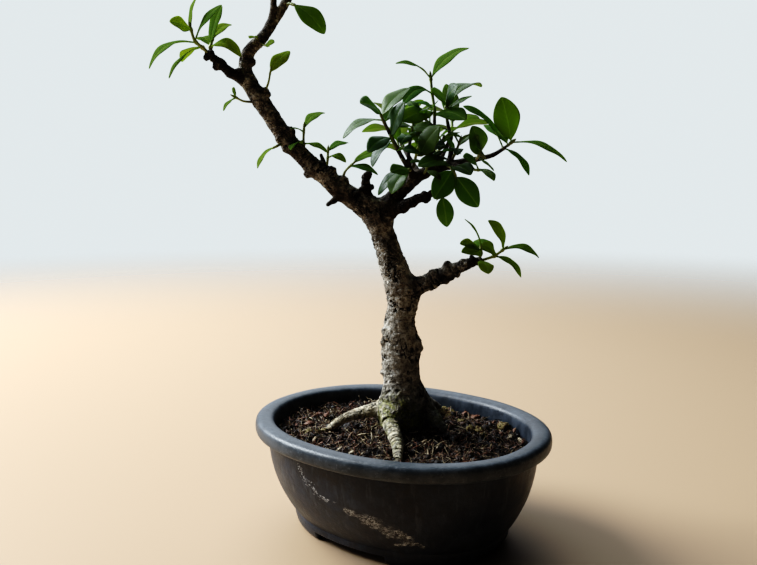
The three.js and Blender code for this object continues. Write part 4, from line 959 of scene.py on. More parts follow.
# The bark's height over the wood, in mm, and how open its cracks are, worked out in each limb's own length
# and girth: lumps, waists, scales parted by cracks in patches, a few pits, and rings across the limb.
def barkRelief(points, label, along, radius, local, apart, looks):
    tone, ringDepth, ringGap, wear = looks[label].T
    girth = np.clip(radius / 9, 0.16, 1)
    mine = np.column_stack([along, local]) + label[:, None] * 31.7
    bend = np.column_stack([roughPair(mine / 5.5, 61 + k) for k in range(3)])

    # The limb's own length and girth, bent by so much, with features of this length and girth.
    def bent(amount, length, across):
        return (mine + amount * bend) / np.array([length, across, across])

    lump = wood["lump"] * roughPair(points / 8.5, 51) + wood["smallLump"] * roughPair(points / 2.6, 57)
    waist = wood["waist"] * smoothNoise(bent(2.5, 5.5, 30), 65)
    near, next_, value = spotNoise(bent(2.2, 2.6, 4.6), 67)
    patch = eased(0.0, 0.55, roughPair(points / np.array([8.0, 8.0, 6.0]), 71) + 0.12)
    crack = (1 - eased(0.01, 0.13, next_ - near)) * patch
    pitNear, _, pitValue = spotNoise(bent(1.4, 3.4, 4.4), 79)
    pit = (1 - eased(0.05, 0.4, pitNear + 0.5 * roughPair(points / 1.2, 81))) * eased(0.35, 0.8, pitValue)
    fineNear, fineNext, flake = spotNoise(bent(1.5, 1.3, 2.2), 93)
    split = (1 - eased(0.02, 0.24, fineNext - fineNear)) * (0.3 + 0.7 * patch)
    grit = wood["grit"] * roughPair(bent(0.8, 1.3, 1.9), 85)
    wander = along + 1.1 * bend[:, 0] + 1.2 * smoothNoise(bent(0, 2.2, 9), 83)
    broken = 0.25 + 0.75 * eased(-0.3, 0.35, smoothNoise(bent(2, 4.5, 7), 87))
    ring = np.abs(np.sin(math.pi * wander / ringGap))
    ringCut = (1 - eased(0.0, 0.5, ring)) * broken * eased(0.5, 4.5, apart)
    sure = eased(0.2, 1.6, apart)
    flakes = wood["scale"] * value * wear * patch + wood["flake"] * (flake - split)
    holes = wear * (wood["crack"] * crack + wood["pit"] * pit) * (0.4 + 0.6 * sure)
    height = girth * (lump + waist + grit + flakes - holes)
    height -= ringDepth * ringCut * sure * np.clip(radius / 2.5, 0.4, 1.4)
    # How open the cracks, pits and rings' grooves are; the bark's colour is darkened by this, partly as
    # painted shade.
    opened = wear * np.maximum(0.8 * crack, 0.6 * pit) + 0.45 * split + 1.3 * ringDepth * ringCut * sure
    return height, np.clip(opened, 0, 1), tone, value


# Bark over the wood: dark in its cracks and pits, partly its own colour and partly painted shade, with dark
# flecks that are partly painted shade of its fine relief; pale and flaky where it stands out, mossy near the
# soil.
def livingBark():
    m = newMaterial("living_bark")
    cracksAndShade, tone, moss = valueOf(m, "cracksAndShade"), valueOf(m, "tone"), valueOf(m, "moss")
    grain, fleck, patch = noiseOf(m, 420, 6, 0.72), noiseOf(m, 1300, 4, 0.75), noiseOf(m, 95, 5, 0.62)
    line = noiseOf(m, 260, 5, 0.7, mapped(m, place(m), Scale=(1, 1, 2.6)))
    young = ramp(m, grain, (0.3, (0.010, 0.007, 0.005)), (0.5, (0.036, 0.026, 0.019)),
                 (0.72, (0.105, 0.084, 0.066)))
    old = ramp(m, grain, (0.26, (0.11, 0.088, 0.066)), (0.44, (0.37, 0.335, 0.28)),
               (0.66, (0.78, 0.75, 0.68)))
    bleached = ramp(m, grain, (0.26, (0.29, 0.22, 0.13)), (0.44, (0.67, 0.57, 0.41)),
                    (0.66, (0.90, 0.83, 0.66)))
    aged = spread(m, plus(m, tone, spread(m, patch, 0.3, 0.7, (-0.25, 0.2))), 0.15, 0.85)
    base = mixed(m, spread(m, tone, 0.9, 1.25), mixed(m, aged, young, old), bleached)
    # Dark flecks in patches: partly marks of the bark and partly painted shade of its fine relief.
    dark = spread(m, plus(m, times(m, fleck, 0.5), times(m, line, 0.5)), 0.50, 0.60)
    base = mixed(m, times(m, dark, spread(m, patch, 0.38, 0.62, (0.15, 0.85))), base, (0.022, 0.016, 0.010))
    base = coat(m, base, noiseOf(m, 60, 4, 0.6), 0.50, 0.68, 0.5, (0.10, 0.066, 0.038))
    # Painted shade: cracks, pits and ring grooves are darkened, partly the bark's own darker colour there and
    # partly the shade that falls into them.
    base = coat(m, base, cracksAndShade, 0.1, 0.7, 0.95, (0.008, 0.006, 0.004))
    green = coat(m, (0.45, 0.43, 0.11), fleck, 0.38, 0.62, 1, (0.080, 0.100, 0.020))
    base = mixed(m, times(m, moss, spread(m, noiseOf(m, 330, 5, 0.72), 0.40, 0.54)), base, green)
    height = math2(m, "SUBTRACT", plus(m, grain, times(m, fleck, 0.35)), plus(m, cracksAndShade, times(m, dark, 0.5)))
    rough = spread(m, grain, 0.3, 0.7, (0.92, 0.72))
    return endWith(m, skin(m, base, rough, 0.22, bumped(m, height, 0.9, 0.0014)))


# The limbs' tubes melted into one skin of points and quads by a voxel remesh.
def woodSkin(paths, bark):
    rough = meshOf("wood_core", *joined([tubeOf(path, wood["sides"], 0.6) for path in paths]), bark)
    melt = rough.modifiers.new("melt", "REMESH")
    melt.mode, melt.voxel_size, melt.adaptivity = "VOXEL", wood["voxel"] / 1000, 0
    applyModifiers(rough)
    points = np.zeros(len(rough.data.vertices) * 3, np.float32)
    rough.data.vertices.foreach_get("co", points)
    corners = np.zeros(len(rough.data.loops), np.int32)
    rough.data.loops.foreach_get("vertex_index", corners)
    bpy.data.objects.remove(rough)
    return (points.reshape(-1, 3).astype(float) - potMiddle) * 1000, corners.reshape(-1, 4)


# All the wood as one skin, with the bark raised on it along the skin's own normals.
def makeWood():
    paths = [pathOf(places, wood["steps"]) for places in limbs.values()]
    looks = np.array([barkLook.get(name, plainTwig) for name in limbs])
    balls = [[*placed(knot), knot[3]] for knot in knots]
    bark = livingBark()
    points, quads = woodSkin(paths, bark)
    # The voxels' steps are taken out by moving each point down its normal onto the blended surface.
    for _ in range(3):
        field = woodField(points, paths, balls)[0]
        points -= pointNormals(points, quads) * np.clip(field, -0.8, 0.8)[:, None]
    label, along, radius, local, apart = woodField(points, paths, balls)[1:]
    height, opened, tone, value = barkRelief(points, label, along, radius, local, apart, looks)
    points += pointNormals(points, quads) * height[:, None]
    # Moss grows near the soil, thickest where the front root leaves the trunk, and little on the left root.
    low = points[:, 2] - soil["rim"]
    aside = np.linalg.norm(points[:, :2] - trunkFoot[:2], axis=1)
    crown = np.linalg.norm(points - placed(wood["mossCrown"]), axis=1)
    moss = (1 - eased(*wood["mossUp"], low)) * (0.2 + 0.6 * eased(-0.2, 0.5, smoothNoise(points / 6.0, 91)))
    moss = moss * (1 - 0.75 * eased(*wood["mossOut"], aside)) + 0.9 * (1 - eased(*wood["crownReach"], crown))
    moss = np.clip(moss, 0, 1)
    moss *= np.where(label == list(limbs).index("leftRoot"), 0.35, 1)
    # The leader and the trunk's foot are darker and redder than the trunk between them.
    dark = eased(*wood["leaderFrom"], points[:, 2]) + 1 - eased(*wood["footUpTo"], low)
    tone = tone - wood["darker"] * dark * (label == list(limbs).index("trunk"))
    tone = np.clip(tone + 0.12 * value, 0, 1.3)
    finished(meshOf("living_wood", points, [quads], bark, {"cracksAndShade": opened, "tone": tone, "moss": moss}),
             "bark", "tree")


# The leafy shoots. Each: how young it is, from 0 to 1; its stems, as places with a radius in mm; and its
# leaves, one to a row: place of the base, place of the tip, width in mm, the way that the upper side faces
# (to the right, up and nearer), and how far the blade arches, as a share of its length.
shoots = {
    "shoot_crown_top": (0.32, [[[434.5, 120, 0, 0.9], [434.5, 110, 0, 0.8], [432, 92, 0, 0.8],
        [430.5, 76, 0, 0.7]]], [
        [431, 77, 0, 469, 48, -6, 12.5, -0.55, 0.65, 0.55, 0.13],
        [430, 77, 0, 395.5, 63.5, 6, 11, 0.15, 0.95, 0.25, 0.16],
        [432, 95, 0, 403, 105, 8, 10, -0.1, 0.8, 0.55, 0.3],
        [434, 109, -1, 403, 108, -12, 10, 0, 1, 0.15, 0.15],
        [434, 113, 1, 402, 121, 16, 14, 0, 0.75, 0.65, 0.1],
        [434.5, 115, 0, 466, 120, 27, 13, 0, 0.65, 0.75, 0.1]]),
    "shoot_crown_second": (0.12, [[[447.7, 124, 1, 0.9], [446.5, 114, 3, 0.8], [446.5, 105, 4, 0.7]]], [
        [446.5, 108, 4, 431, 91, 20, 11, 0.15, 0.55, 0.8, 0.1],
        [447, 107, 4, 458, 86, 22, 13, -0.2, 0.45, 0.85, 0.1],
        [447, 106, 3, 481.5, 87, -10, 12, -0.1, 0.9, 0.35, 0.22],
        [447, 110, 3, 472, 96, 9, 6, -0.2, 0.8, 0.5, 0.05]]),
    "shoot_crown_left": (0.28, [[[386, 126, 17, 0.9], [383, 120, 18, 0.7], [380, 113, 19, 0.6]]], [
        [380.5, 115, 19, 360, 103, 33, 13, -0.2, 0.5, 0.8, 0.1],
        [383, 121, 18, 343, 138.5, 22, 11.5, -0.1, 0.95, 0.3, 0.17],
        [382, 117, 18, 410, 88, 11, 13.5, -0.6, 0.52, 0.6, 0.1],
        [384, 123, 17, 396, 108, -4, 11, 0.2, 0.9, 0.2, 0.12]]),
    "shoot_crown_mid_left": (0.12, [[[397, 149, 11, 0.8], [393, 142, 14.5, 0.7],
        [391.5, 138, 16.5, 0.6]]], [
        [392, 138, 16, 405, 102, 27, 12.5, -0.66, 0.4, 0.63, 0.08],
        [391.5, 139, 16.5, 368, 152.5, 26, 11, -0.15, 0.75, 0.65, 0.18],
        [392, 141, 15, 372.5, 167, 24, 10, -0.65, 0.5, 0.6, 0.15]]),
    "shoot_crown_low_left": (0.12, [[[409, 171, 8, 0.9], [410, 170, 13, 0.8], [409, 170, 16, 0.7]]], [
        [410, 170, 15, 391.5, 194, 22, 12, -0.5, 0.6, 0.65, 0.12],
        [409, 170, 16, 390.5, 172, 27, 10, -0.35, 0.35, 0.85, 0.1],
        [409.5, 170, 14, 378, 195, 9, 9.5, -0.5, 0.6, 0.6, 0.15]]),
    "shoot_crown_inner": (0.29, [[[410.5, 140, 8.5, 0.8], [412, 130, 11, 0.7], [413, 125, 12, 0.6]]], [
        [412, 128, 11, 396, 127, 22, 9, -0.1, 0.75, 0.6, 0.14],
        [412.5, 127, 12, 433, 131, 20, 10, 0.1, 0.6, 0.75, 0.12],
        [411, 136, 10, 401, 144, 21, 9, -0.3, 0.5, 0.8, 0.14],
        [411, 134, 9.5, 424, 137, 20, 9, 0.3, 0.5, 0.8, 0.2]]),
    "shoot_crown_heart": (0.12, [[[432, 156, 4, 0.9], [427, 154, 12, 0.8], [420, 155, 18, 0.7]]], [
        [420, 155, 18, 440, 126, 29, 14.5, -0.45, 0.25, 0.9, 0.12],
        [427, 154, 12, 445, 146, 24, 11, 0.1, 0.6, 0.7, 0.14],
        [422, 155, 17, 404, 151, 27, 10, -0.2, 0.6, 0.7, 0.16]]),
    "shoot_crown_low": (0.12, [[[447, 166, 4, 0.9], [451, 167, 10, 0.8], [454, 172, 12, 0.8],
        [455.5, 181, 11, 0.7], [449, 189, 11, 0.6], [440, 197, 11.5, 0.5]]], [
        [451.5, 167, 10, 418, 166.5, 33, 11.5, 0, 0.7, 0.7, 0.12],
        [453, 170, 11, 434, 199, 18, 13, 0.1, 0.2, 1, 0.08],
        [455, 175, 12, 478.5, 207, 13, 12.5, -0.2, 0.25, 0.95, 0.08],
        [440.5, 196.5, 11.5, 447, 227, 12.5, 10, 0.1, 0.15, 1, 0.08],
        [453, 168, 11, 471, 175, 27, 11.5, 0.1, 0.7, 0.7, 0.14]]),
    "shoot_crown_right": (0.3, [[[501, 150, 0, 0.9], [507, 146, 0, 0.8], [512, 142, 0, 0.7]]], [
        [512, 142, 0, 501.5, 97, 3, 15.5, 0.15, 0.1, 1, 0.06],
        [511.5, 142, 0, 567, 162, -3, 11.5, 0.25, 0.95, 0.3, 0.13],
        [504, 149, 1, 529, 175.5, 7, 11, 0.55, 0.75, 0.4, 0.15],
        [508, 145, -1, 484, 125, -17, 9.5, 0, 0.9, 0.35, 0.1],
        [503, 149, -1, 463, 106, -5, 13, 0.6, 0.7, 0.25, 0.12]]),
    "shoot_crown_right_low": (0.12, [[[476, 159.5, 1, 0.8], [478, 157, 6, 0.7], [479, 155, 9, 0.6]]], [
        [479, 155, 9, 476, 146, 25, 11.5, 0.1, 0.35, 0.9, 0.1],
        [478.5, 156, 8, 472, 126, 19, 12, 0.1, 0.4, 0.9, 0.12],
        [478, 157.5, 5, 494, 171, 10, 6, 0.5, 0.8, 0.3, 0.05]]),
    "shoot_crown_front": (0.12, [[[471, 169, 20, 0.8], [476, 170, 25, 0.7], [479, 170, 28, 0.6]]], [
        [479, 170, 28, 494, 181, 40, 8, 0.2, 0.85, 0.5, 0.16],
        [478, 170, 27, 463, 157, 40, 9, 0, 0.6, 0.75, 0.12]]),
    "shoot_cluster_outer": (0.75, [[[211, 56, 11.5, 1], [203, 48, 14, 0.9], [195, 41, 17, 0.8],
        [190, 26, 18, 0.7]]], [
        [197, 43, 16.3, 149, 69, 25, 11.5, -0.25, 0.9, 0.4, 0.2],
        [202, 47, 14.3, 169, 78.5, 26, 9.5, -0.65, 0.7, 0.35, 0.13],
        [203, 47.5, 14, 182, 62, 0, 9, -0.3, 0.95, 0, 0.14],
        [191.3, 30.5, 17.7, 169.5, 21.5, 27, 10.5, -0.1, 0.5, 0.85, 0.1],
        [190, 27, 18, 199, -7, 13, 9, -0.8, 0.2, 0.45, 0.08],
        [195.5, 41.5, 17, 222, 5, 24, 8.5, -0.7, 0.45, 0.5, 0.1]]),
    "shoot_cluster_inner": (0.8, [[[211.5, 57, 11, 1], [210.5, 48, 11, 0.8], [213, 38, 10, 0.7]]], [
        [211.5, 45, 11.6, 222, 6, 12, 9.5, -0.7, 0.1, 0.65, 0.06],
        [211, 47.5, 12, 241, 57, 19, 11.5, 0.15, 0.75, 0.65, 0.26],
        [213, 38.5, 10, 231, 24.5, -2, 9, 0, 0.9, 0.3, 0.12],
        [211, 47, 12, 200, 40, -6, 10, -0.2, 0.95, 0, 0.16]]),
    "shoot_left_side": (0.9, [[[252, 102, 6, 0.7], [243, 101, 10, 0.6], [235, 97, 12, 0.5]]], [
        [236, 97.5, 12, 223.5, 111, 17, 5.5, -0.5, 0.8, 0.4, 0.12],
        [235.5, 97.5, 12, 234, 87, 15, 4, -0.7, 0.1, 0.6, 0.1]]),
    "shoot_left_under": (0.8, [[[283, 143, 8, 0.8], [278, 145.5, 10, 0.7], [275, 147, 11, 0.6]]], [
        [276.5, 146.5, 10.5, 257.5, 168.5, 15, 7, -0.7, 0.6, 0.45, 0.14]]),
    "shoot_left_middle": (0.45, [[[304, 151, 5, 0.8], [303.5, 140, 5, 0.7], [304, 127, 5, 0.6]]], [
        [304, 128, 5, 325, 113, 0, 9, -0.3, 0.8, 0.5, 0.2],
        [303.5, 133, 5, 290, 129, 10, 5, 0, 0.95, 0.3, 0.15],
        [303.7, 145, 5, 291, 150, 16, 8, -0.55, 0.6, 0.58, 0.2],
        [303.7, 144, 5, 327, 152.5, 9, 8.5, 0.1, 0.95, 0.25, 0.12]]),
    "shoot_left_spur": (0.5, [[[326, 171, 4, 0.8], [327.5, 161, 5, 0.7], [328, 150, 5, 0.6]]], [
        [328, 151, 5, 348.5, 143, 0, 8, -0.1, 0.9, 0.45, 0.18],
        [328, 158, 5, 346, 162.5, 10, 6, 0, 0.9, 0.45, 0.25]]),
    "shoot_left_near_fork": (0.4, [[[342, 180, 4, 0.9], [345.5, 171, 5, 0.7], [353, 163.5, 6, 0.6]]], [
        [352, 164.5, 6, 381, 153, 1, 9, -0.15, 0.9, 0.45, 0.12],
        [350, 166.5, 6, 378, 175, 11, 7.5, 0.1, 0.85, 0.5, 0.14]]),
    "shoot_leader_side": (0.9, [[[262, 97, 7, 0.7], [268, 84, 8.5, 0.6], [270.5, 71, 8, 0.5]]], [
        [270.5, 72, 8, 289.5, 51, 1, 10, -0.2, 0.6, 0.75, 0.1]]),
    "shoot_leader_bud": (0.95, [[[260, 42, 5, 0.6], [264, 45, 8, 0.5], [266, 45.5, 9, 0.5]]], [
        [265.5, 45.5, 9, 274.5, 42.5, 14, 5.5, 0.1, 0.4, 0.9, 0.1]]),
    "shoot_leader_left": (0.9, [[[259, 41, 5, 0.6], [257, 38, 8.5, 0.5]]], [
        [257.3, 38.5, 8, 249.5, 38.5, 14, 5, -0.1, 0.8, 0.5, 0.15]]),
    "shoot_leader_right": (0.35, [[[284, 6, 4, 0.9], [289, 3.5, 7, 0.8], [293, 4.5, 9, 0.7]]], [
        [293, 4.5, 9, 324.5, 34, 17, 12.5, 0.25, 0.5, 0.8, 0.12]]),
    "shoot_lower_end": (0.7, [[[476, 261.5, 12, 0.9], [486, 259, 12.5, 0.8], [495, 255.5, 13, 0.8],
        [504, 249, 14, 0.7]], [[477, 261, 12, 0.8], [481, 255, 12, 0.7], [481, 248, 12, 0.6]]], [
        [503.5, 249, 14, 488, 220.5, 22, 11, 0.65, 0.45, 0.6, 0.2],
        [503.5, 249.5, 14, 539, 258, 18, 9.5, 0.25, 0.9, 0.35, 0.2],
        [494, 256, 13, 521, 277.5, 18, 9.5, 0.55, 0.75, 0.4, 0.16],
        [481, 249, 12, 464.5, 219, 9, 8, 0.75, 0.5, 0.15, 0.12],
        [481, 252, 12, 460, 244, 22, 9.5, 0.05, 0.8, 0.6, 0.14],
        [480.5, 254, 12.5, 461.5, 252.5, 27, 9, -0.1, 0.5, 0.85, 0.12],
        [495, 255, 13, 482, 245, 24, 8.5, -0.1, 0.55, 0.8, 0.12],
        [494, 256, 12.5, 474, 241, 1, 10, 0, 0.9, 0.4, 0.16],
        [479.5, 260, 12.5, 488.5, 274, 24, 9, 0.3, 0.5, 0.8, 0.14]]),
}
# Shoots whose leaves go by rule: how young, the stem, how many leaves, their length in mm, the first's angle.
regularShoots = {
    "shoot_back_high": (0.12, [[451.5, 137, -28, 1], [452, 127, -37, 0.8], [452, 118, -44, 0.7]],
                        5, 25, 20),
    "shoot_back_left": (0.12, [[401, 143, -27, 1], [399, 133, -35, 0.8], [398, 124, -42, 0.7]], 5, 24, 70),
    "shoot_back_middle": (0.12, [[441, 158, -9, 1], [434, 148, -18, 0.8], [428, 139, -25, 0.7]],
                          4, 22, 240),
    "shoot_leader_peak": (0.12, [[297.5, -64, -3.5, 1], [296, -77, -5, 0.8], [296, -88, -5, 0.7]],
                          6, 25, 10),
    "shoot_leader_upper": (0.12, [[299, -37, 0.5, 1], [288, -41, -10, 0.8], [281, -44, -19, 0.7]],
                           4, 22, 200),
    "shoot_leader_lower": (0.12, [[295.5, -22, 3, 1], [301, -22, 12, 0.8], [304, -25, 19, 0.7]],
                           3, 21, 330),
    "shoot_top_twig": (0.12, [[259, -34.5, 13.5, 1], [250, -44, 17, 0.8], [243, -50, 19, 0.7]], 6, 25, 90),
    "shoot_top_side": (0.12, [[273, -6, 9.5, 1], [267, -16, 19, 0.8], [262, -22, 24, 0.7]], 3, 20, 130),
    "shoot_peak_twig": (0.12, [[330.5, -46.5, 13.5, 1], [338, -56, 16, 0.8], [343, -64, 18, 0.7]],
                        5, 25, 300),
}
# Small shoots that fill the crown and bear no solids of their own.
fillShoots = {
    "fill_heart": (0.4, [[436, 158, 5, 0.8], [440, 148, 10, 0.6], [443, 139, 13, 0.5]], 6, 14, 30),
    "fill_inner": (0.5, [[414, 164, 7, 0.8], [417, 152, 12, 0.6], [420, 141, 15, 0.5]], 6, 14, 110),
    "fill_left": (0.12, [[402, 158, 9, 0.8], [399, 148, 3, 0.6], [397, 139, 0, 0.5]], 5, 14, 250),
    "fill_right": (0.12, [[452, 160, 3, 0.8], [457, 149, 8, 0.6], [460, 140, 10, 0.5]], 5, 15, 170),
    "fill_top": (0.28, [[434.5, 127, 1, 0.7], [426, 120, 5, 0.6], [420, 115, 7, 0.5]], 4, 15, 60),
    "fill_low": (0.12, [[424, 174, 5, 0.8], [427, 168, 14, 0.6], [429, 162, 19, 0.5]], 4, 13, 330),
}
# A leaf blade: petiole, a long oval widest before its middle, a groove along the midrib above, a ridge below.
leafShape = {"petiole": 0.5, "tip": 0.08, "stalk": 0.07, "blunt": (0.92, 1.2), "full": 0.66, "thick": 0.42,
             "rows": 24, "fold": 0.16, "cup": 0.1, "groove": 0.16, "ridge": 0.26, "wave": 0.07, "twist": 0.22}
regular = {"goldenAngle": 137.5, "widthShare": 0.46, "lowest": 0.25, "highest": 0.96, "lean": 0.25,
           "rise": 0.35, "upward": 0.8, "arch": 0.14}
# bud is how far along its length, and how thick against the stem, each ring of a bud is.
stemShape = {"sides": 9, "steps": 9, "sunk": 2.2, "swelling": 0.28, "budLength": 3.0, "dull": 0.3,
             "bud": ((0.15, 1.05), (0.35, 1.1), (0.6, 0.8), (0.82, 0.45), (1.0, 0.12))}


# Blades over a grid of shares: rows run from base to tip on a quadratic Bezier whose middle is raised towards
# the upper side; columns run across the top from edge to edge and back below. leaves is rows of base, tip,
# upper side (3 each), width, arch and a random number.
def leafSurfaces(leaves, random):
    base, tip, face = leaves[:, :3], leaves[:, 3:6], leaves[:, 6:9]
    width, arch = leaves[:, 9:10], leaves[:, 10:11]
    count, reach = len(leaves), tip - base
    length = np.linalg.norm(reach, axis=1, keepdims=True)
    upper = unit(face - reach * np.sum(face * reach, axis=1, keepdims=True) / length ** 2)
    middle = (base + tip) / 2 + upper * 2 * arch * length
    u = np.linspace(0.13, 0.94, leafShape["rows"] - 7)
    u = np.concatenate([[0, 0.03, 0.06, 0.09], u, [0.97, 0.99, 1]])
    t = u[None, :, None]
    line = base[:, None] * (1 - t) ** 2 + middle[:, None] * 2 * t * (1 - t) + tip[:, None] * t ** 2
    tangent = unit((middle - base)[:, None] * (1 - t) + (tip - middle)[:, None] * t)
    side = unit(np.cross(tangent, upper[:, None]))
    normal = np.cross(side, tangent)
    turn = (leafShape["twist"] * random.normal(0, 1, (count, 1)) * (u - 0.35))[..., None]
    side, normal = side * np.cos(turn) + normal * np.sin(turn), normal * np.cos(turn) - side * np.sin(turn)

    blade = np.clip((u - leafShape["stalk"]) / (1 - leafShape["stalk"]), 0, 1)
    blunt = random.uniform(*leafShape["blunt"], (count, 1))
    oval = width / 2 * np.maximum(np.sin(math.pi * blade ** blunt), 0) ** leafShape["full"]
    least = np.where(u < 0.5, leafShape["petiole"] * (1 - 0.3 * eased(0, 0.1, u)), leafShape["tip"])
    half = np.maximum(oval, least)[..., None]
    wide = eased(0.5, 2.0, half)
    across = np.array([-1, -0.86, -0.66, -0.44, -0.24, -0.1, 0, 0.1, 0.24, 0.44, 0.66, 0.86, 1])
    w = np.concatenate([across, across[-2:0:-1]])
    top = np.where(np.arange(len(w)) < len(across), 1.0, 0.0)
    # The petiole is a round rod; from there on the blade is of one thickness until it tapers at its tip.
    rod = np.minimum(half, leafShape["petiole"]) * (t < 0.5)
    flat = leafShape["thick"] / 2
    thick = np.where(rod > 0, flat * wide + rod * (1 - wide), flat * np.minimum(1, 0.25 + 0.9 * half))
    fold = leafShape["fold"] * random.uniform(0.3, 1.5, (count, 1, 1))
    phase = random.uniform(0, 6.3, (count, 1, 1))
    waves = np.sin(11 * t + phase + 1.2 * np.sign(w)) * w ** 2
    raised = (2 * top - 1) * np.sqrt(np.maximum(1 - w ** 2, 0)) * thick
    raised = raised + wide * half * (fold * np.abs(w) - leafShape["cup"] * w ** 2 + leafShape["wave"] * waves)
    groove = leafShape["groove"] * np.exp(-(w / 0.09) ** 2) * top
    ridge = leafShape["ridge"] * np.exp(-(w / 0.11) ** 2) * (1 - top)
    raised = raised - wide * (1 - 0.6 * t) * (groove + ridge)
    points = line[:, :, None] + side[:, :, None] * (half * w)[..., None]
    points = points + normal[:, :, None] * raised[..., None]
    points = np.concatenate([points.reshape(count, -1, 3), line[:, :1], line[:, -1:]], axis=1)
    faces = [rows[:, ::-1] for rows in closedFaces(leafShape["rows"], len(w))]

    # Each value is given over the grid, then at the two poles.
    values = {"seed": np.repeat(leaves[:, 11], points.shape[1])}
    for key, grid, poles in (("along", t, [0, 1]), ("across", w, [0, 0]), ("top", top, [1, 1]),
                             ("wide", half, [0.3, 0.1])):
        grid = np.broadcast_to(grid, raised.shape).reshape(count, -1)
        values[key] = np.column_stack([grid, np.tile(poles, (count, 1))])
    return points.reshape(-1, 3), repeated(faces, count, points.shape[1]), values


# The leaves of a shoot that is listed leaf by leaf: each is moved to the point of the stems nearest to where
# its base is said to be.
def listedLeaves(stems, leaves, random):
    leaves = np.array(leaves, float)
    spots = np.vstack([alongCurve(rowsOf(places), np.linspace(0, 1, 8 * len(places) + 1))[:-2, :3]
                       for places in stems])
    joint = np.linalg.norm(spots - placed(leaves[:, :3])[:, None], axis=2).argmin(axis=1)
    right, up, near = leaves[:, 7:10].T
    return np.column_stack([spots[joint], placed(leaves[:, 3:6]), turned(np.column_stack([right, -near, up])),
                            leaves[:, 6], leaves[:, 10], random.uniform(0, 1, len(leaves))])


# The leaves of a shoot by rule: each a golden angle on from the last, leaning more along the stem towards
# its end, and longest at the middle.
def ruledLeaves(places, count, length, firstAngle, random):
    rows = rowsOf(places)
    share = np.linspace(0, 1, count)
    where = between((regular["lowest"], regular["highest"]), share)
    base = alongCurve(rows, where)[:, :3]
    axis = unit(alongCurve(rows, np.minimum(where + 1e-4, 1))[:, :3] - alongCurve(rows, where - 1e-4)[:, :3])
    turn = np.radians(firstAngle + regular["goldenAngle"] * np.arange(count))
    out = np.column_stack([np.cos(turn), np.sin(turn), np.zeros(count)])
    out = out - axis * np.sum(out * axis, axis=1, keepdims=True)
    out = unit(out + axis * (regular["lean"] + share * regular["rise"])[:, None])
    long = length * (0.75 + 0.25 * np.sin(math.pi * (0.25 + 0.6 * share)))[:, None]
    face = axis * 0.5 + [0, 0, regular["upward"]]
    return np.column_stack([base, base + out * long, face, long * regular["widthShare"],
                            np.full(count, regular["arch"]), random.uniform(0, 1, count)])


# A stem: a tube that starts inside the bark, swells at each leaf, and ends in a pointed bud.
def stemSurface(places, joints):
    path = pathOf(places, stemShape["steps"])
    path = np.vstack([path[:1] - np.append(unit(path[1, :3] - path[0, :3]) * stemShape["sunk"], 0), path])
    for joint in joints:
        path[:, 3] *= 1 + stemShape["swelling"] * np.exp(-np.sum((path[:, :3] - joint) ** 2, axis=1) / 0.8)
    ahead = unit(path[-1, :3] - path[-2, :3]) * stemShape["budLength"]
    bud = [np.append(path[-1, :3] + ahead * far, path[-1, 3] * size) for far, size in stemShape["bud"]]
    return tubeOf(np.vstack([path, bud]), stemShape["sides"], 0.5)


# Waxy leaf: deep green above with a pale midrib and faint side veins, paler below, with a painted highlight
# of backlight along its edges, lit through by the window.
def leafFinish(name, shine):
    m = newMaterial(name)
    top, young, reach = valueOf(m, "top"), valueOf(m, "young"), math2(m, "ABSOLUTE", valueOf(m, "across"))
    rib = spread(m, times(m, reach, valueOf(m, "wide")), 0.12, 0.5, (1, 0))
    slant = math2(m, "SUBTRACT", times(m, valueOf(m, "along"), 9.0), times(m, reach, 2.4))
    veins = times(m, crossings(m, math2(m, "FRACT", slant), 0.26), spread(m, reach, 0.1, 0.95, (1, 0)))
    above = mixed(m, valueOf(m, "seed"), (0.040, 0.100, 0.050), (0.090, 0.165, 0.060))
    above = mixed(m, young, above, (0.160, 0.260, 0.050))
    base = mixed(m, top, mixed(m, young, (0.190, 0.205, 0.110), (0.25, 0.32, 0.11)), above)
    base = coat(m, base, noiseOf(m, 170, 2, 0.5), 0.4, 0.75, 0.3, (0.036, 0.095, 0.036))
    base = mixed(m, times(m, veins, 0.14), base, (0.13, 0.22, 0.06))
    base = mixed(m, times(m, rib, 0.62), base, (0.23, 0.32, 0.10))
    # Painted highlight: a pale rim at the blade's edge, for the light that shines through it from behind.
    base = coat(m, base, reach, 0.9, 1.0, 0.35, (0.20, 0.27, 0.07))
    rough = plus(m, spread(m, young, 0.1, 0.9, (0.38, 0.46)), times(m, math2(m, "SUBTRACT", 1.0, top), 0.12))
    through = mixed(m, young, (0.24, 0.42, 0.035), (0.54, 0.63, 0.065))
    through = mixed(m, times(m, veins, 0.14), through, (0.09, 0.18, 0.02))
    through = mixed(m, times(m, rib, 0.6), through, (0.50, 0.66, 0.24))
    gloss, glow = skin(m, base, rough, shine), node(m, "BsdfTranslucent", {"Color": through})
    return endWith(m, node(m, "MixShader", {0: 0.5, 1: gloss.outputs[0], 2: glow.outputs[0]}))


# Green wood of the shoots, browner towards its foot.
def stemFinish():
    m = newMaterial("green_stem")
    grain = noiseOf(m, 700, 4, 0.65)
    base = coat(m, (0.12, 0.16, 0.035), grain, 0.35, 0.7, 1, (0.22, 0.26, 0.07))
    base = mixed(m, valueOf(m, "young"), base, (0.32, 0.38, 0.09))
    base = mixed(m, valueOf(m, "foot"), base, (0.060, 0.042, 0.026))
    rough = spread(m, grain, 0.3, 0.7, (0.4, 0.6))
    return endWith(m, skin(m, base, rough, 0.5, bumped(m, grain, 0.3, 0.0003)))


